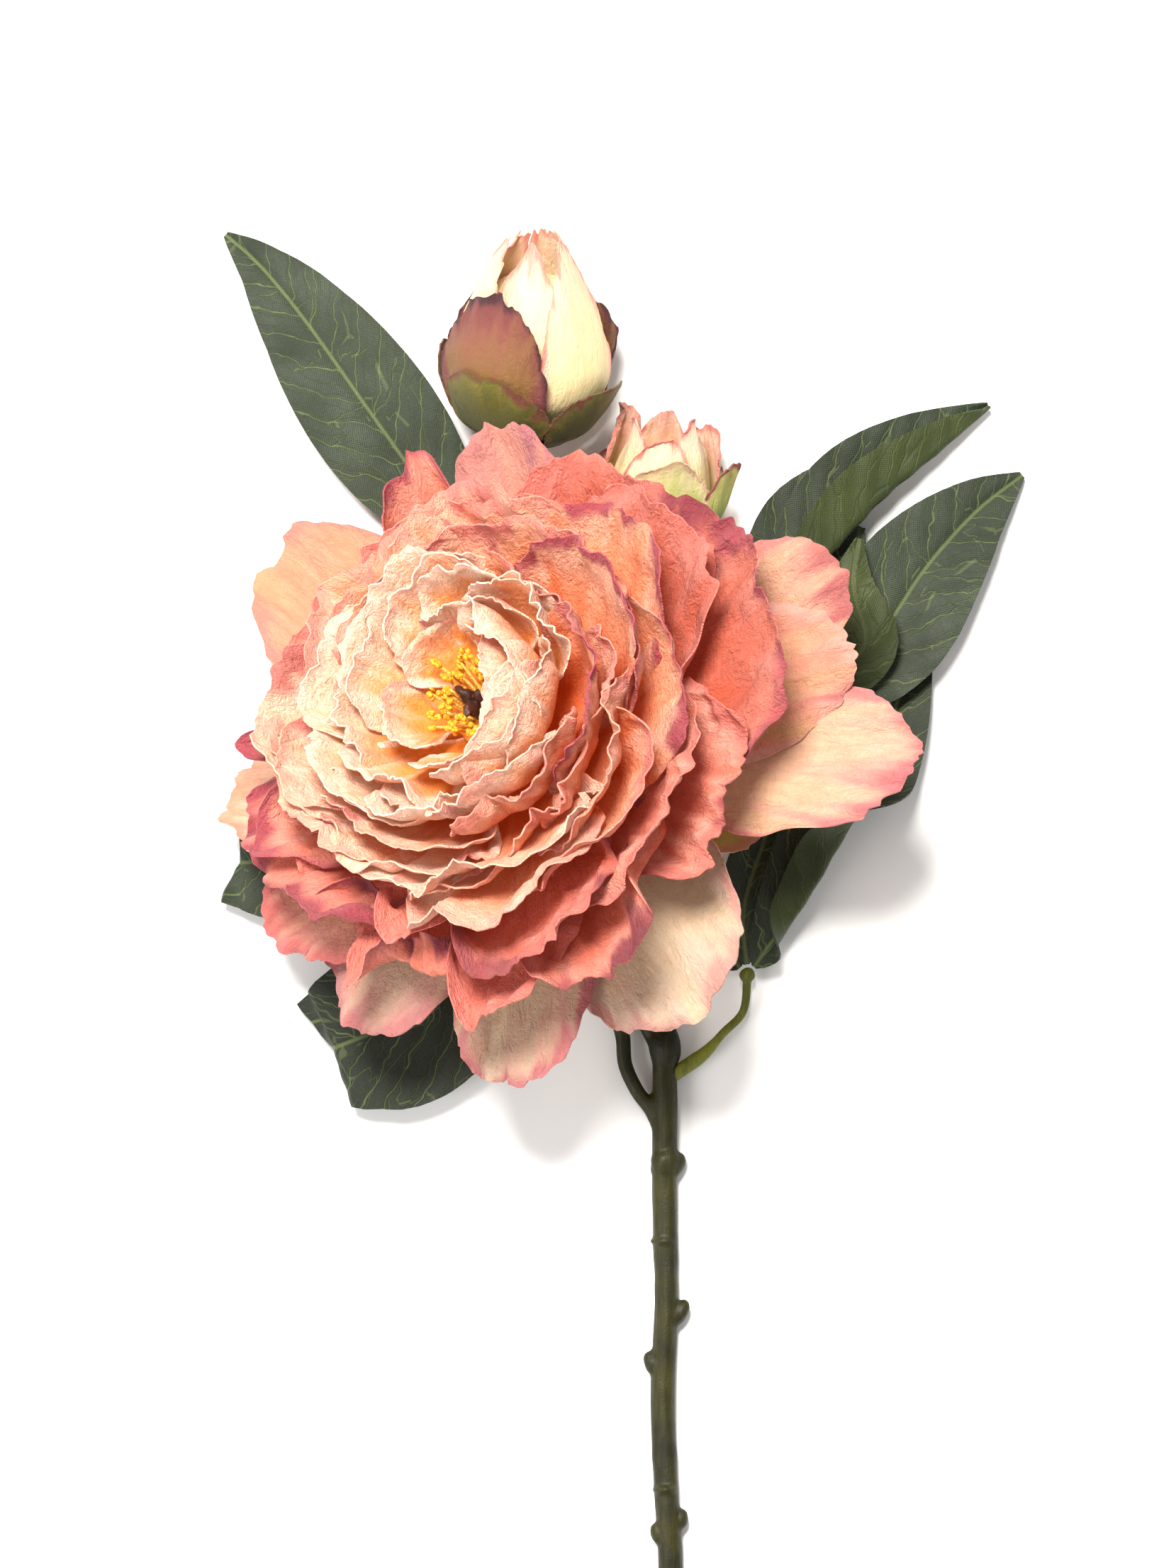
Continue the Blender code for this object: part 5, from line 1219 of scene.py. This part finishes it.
outer_cup = turned_shell([(3.7, 0.0), (4.0, 0.3), (8.2, 0.9), (10.5, 1.3), (10.2, 1.56)], bud_frame)
outer_sepals = wrap_piece("top_bud_sepals_cloth", *bud_size, BUD_SEPALS, 341, (34, 28),
                          Crinkle(0.6, 0.25, 0.5, 0.10, 0), outer_sepal_dye, [outer_cup])
stand_for(outer_sepals, "top_bud_sepals", sepal_cloth)

# SIDE BUD
# A half-open bud behind the right shoulder of the bloom: six cream petals with pink rims and four
# yellow-green sepals whose tips have curled and browned.

SIDE_BUD_LENGTH = 34.0
SIDE_BUD_RADIUS = 15.0
SIDE_BUD_PETALS = [
    Wrap(90, 57, 0.12, 0.98, -3.2, 3), Wrap(210, 57, 0.12, 0.95, -3.2, 5), Wrap(330, 57, 0.12, 1.0, -3.2, 3),
    Wrap(30, 50, 0.12, 0.9, -1.0, 5), Wrap(150, 50, 0.12, 0.98, -1.0, 7), Wrap(270, 50, 0.12, 0.88, -1.0, 4),
]
SIDE_BUD_SEPALS = [
    Wrap(340, 38, 0.05, 0.72, 0.9, 5.5), Wrap(280, 52, 0.05, 0.74, 0.9, 5),
    Wrap(120, 40, 0.05, 0.62, 0.9, 5.5), Wrap(50, 30, 0.05, 0.56, 0.9, 5),
]
FRONT_SEPAL = 280


def side_petal_dye(number, wrap):
    return Dye((0.70, 0.60, 0.24), (0.80, 0.66, 0.48), (0.82, 0.58, 0.42), (0.64, 0.20, 0.16),
               (0.78, 0.36, 0.28), (0.80, 0.34, 0.27))


def side_sepal_dye(number, wrap):
    if wrap.azimuth == FRONT_SEPAL:
        return Dye((0.26, 0.31, 0.05), (0.50, 0.50, 0.19), (0.62, 0.57, 0.29), (0.60, 0.42, 0.25),
                   (0.50, 0.50, 0.16), (0.62, 0.40, 0.20))
    return Dye((0.30, 0.36, 0.07), (0.55, 0.54, 0.15), (0.60, 0.54, 0.18), (0.26, 0.08, 0.06),
               (0.50, 0.50, 0.16), (0.22, 0.05, 0.05))


side_frame = axis_frame(SIDE_BUD_SEAT, SIDE_BUD_AXIS)
side_size = (side_frame, SIDE_BUD_LENGTH, SIDE_BUD_RADIUS)
side_core = bud_middle(side_frame, SIDE_BUD_LENGTH, SIDE_BUD_RADIUS - 5.5, 0.12, 0.62)
side_foot = turned_shell([(7.2, 3.4), (7.5, 3.8), (10.0, 6.4), (9.6, 6.8)], side_frame)
side_bud_petals = wrap_piece("side_bud_petals_cloth", *side_size, SIDE_BUD_PETALS, 361, (34, 30),
                             Crinkle(1.4, 0.3, 2.6, 0.07, 0), side_petal_dye, [side_core, side_foot])
stand_for(side_bud_petals, "side_bud_petals", bud_petal_cloth)
side_cup = turned_shell([(3.2, 0.0), (3.5, 0.3), (6.4, 1.2), (9.0, 2.6), (8.6, 2.9)], side_frame)
side_bud_sepals = wrap_piece("side_bud_sepals_cloth", *side_size, SIDE_BUD_SEPALS, 381, (30, 28),
                             Crinkle(0.9, 0.25, 1.0, 0.10, 0), side_sepal_dye, [side_cup])
stand_for(side_bud_sepals, "side_bud_sepals", sepal_cloth)

# TABLE, LIGHT AND CAMERA
# A plain pale table top under the spray, a broad soft light above the bloom's head and a weaker one beside
# it. The camera looks straight down, as the photograph was taken.

FLOOR_SIZE = 6000.0
bpy.ops.mesh.primitive_plane_add(size=FLOOR_SIZE * MM)
floor = bpy.context.object
floor.name = "table_top"
paper, tree, shader = new_material("pale_table")
speckle = noise(tree, add(tree, "ShaderNodeTexCoord").outputs["Object"], 60.0, 6.0)
table_colour = colour_mix(tree, speckle, (0.95, 0.95, 0.945), (0.97, 0.97, 0.965))
tree.links.new(table_colour, shader.inputs["Base Color"])
shader.inputs["Roughness"].default_value = 0.8
shader.inputs["Specular IOR Level"].default_value = 0.1
floor.data.materials.append(paper)


def soft_light(name, place, aim, width, strength, colour):
    light = bpy.data.lights.new(name, "AREA")
    light.shape = "DISK"
    light.size = width * MM
    light.energy = strength
    light.color = colour
    lamp = bpy.data.objects.new(name, light)
    lamp.location = Vector(place) * MM
    lamp.rotation_euler = (Vector(place) - Vector(aim)).to_track_quat("Z", "Y").to_euler()
    bpy.context.scene.collection.objects.link(lamp)


soft_light("head_light", (-260, 760, 1620), (0, 60, 0), 560, 74, (1.0, 0.97, 0.93))
soft_light("side_light", (-1300, -700, 1300), (0, 40, 0), 1000, 18, (1.0, 0.98, 0.96))
world = bpy.data.worlds.new("studio")
bpy.context.scene.world = world
world.use_nodes = True
world.node_tree.nodes["Background"].inputs["Color"].default_value = (1.0, 0.99, 0.98, 1)
world.node_tree.nodes["Background"].inputs["Strength"].default_value = 0.57
bpy.context.scene.view_settings.view_transform = "Standard"

CAMERA_HEIGHT = 3000.0
PHOTO_HEIGHT = 376.0
PHOTO_MIDDLE = (-8.6, 66.0)
SENSOR = 36.0
camera_data = bpy.data.cameras.new("photo_camera")
camera_data.sensor_width = SENSOR
camera_data.lens = SENSOR * CAMERA_HEIGHT / PHOTO_HEIGHT
camera_data.clip_end = 20.0
camera = bpy.data.objects.new("photo_camera", camera_data)
camera.location = Vector((*PHOTO_MIDDLE, CAMERA_HEIGHT)) * MM
bpy.context.scene.collection.objects.link(camera)
bpy.context.scene.camera = camera
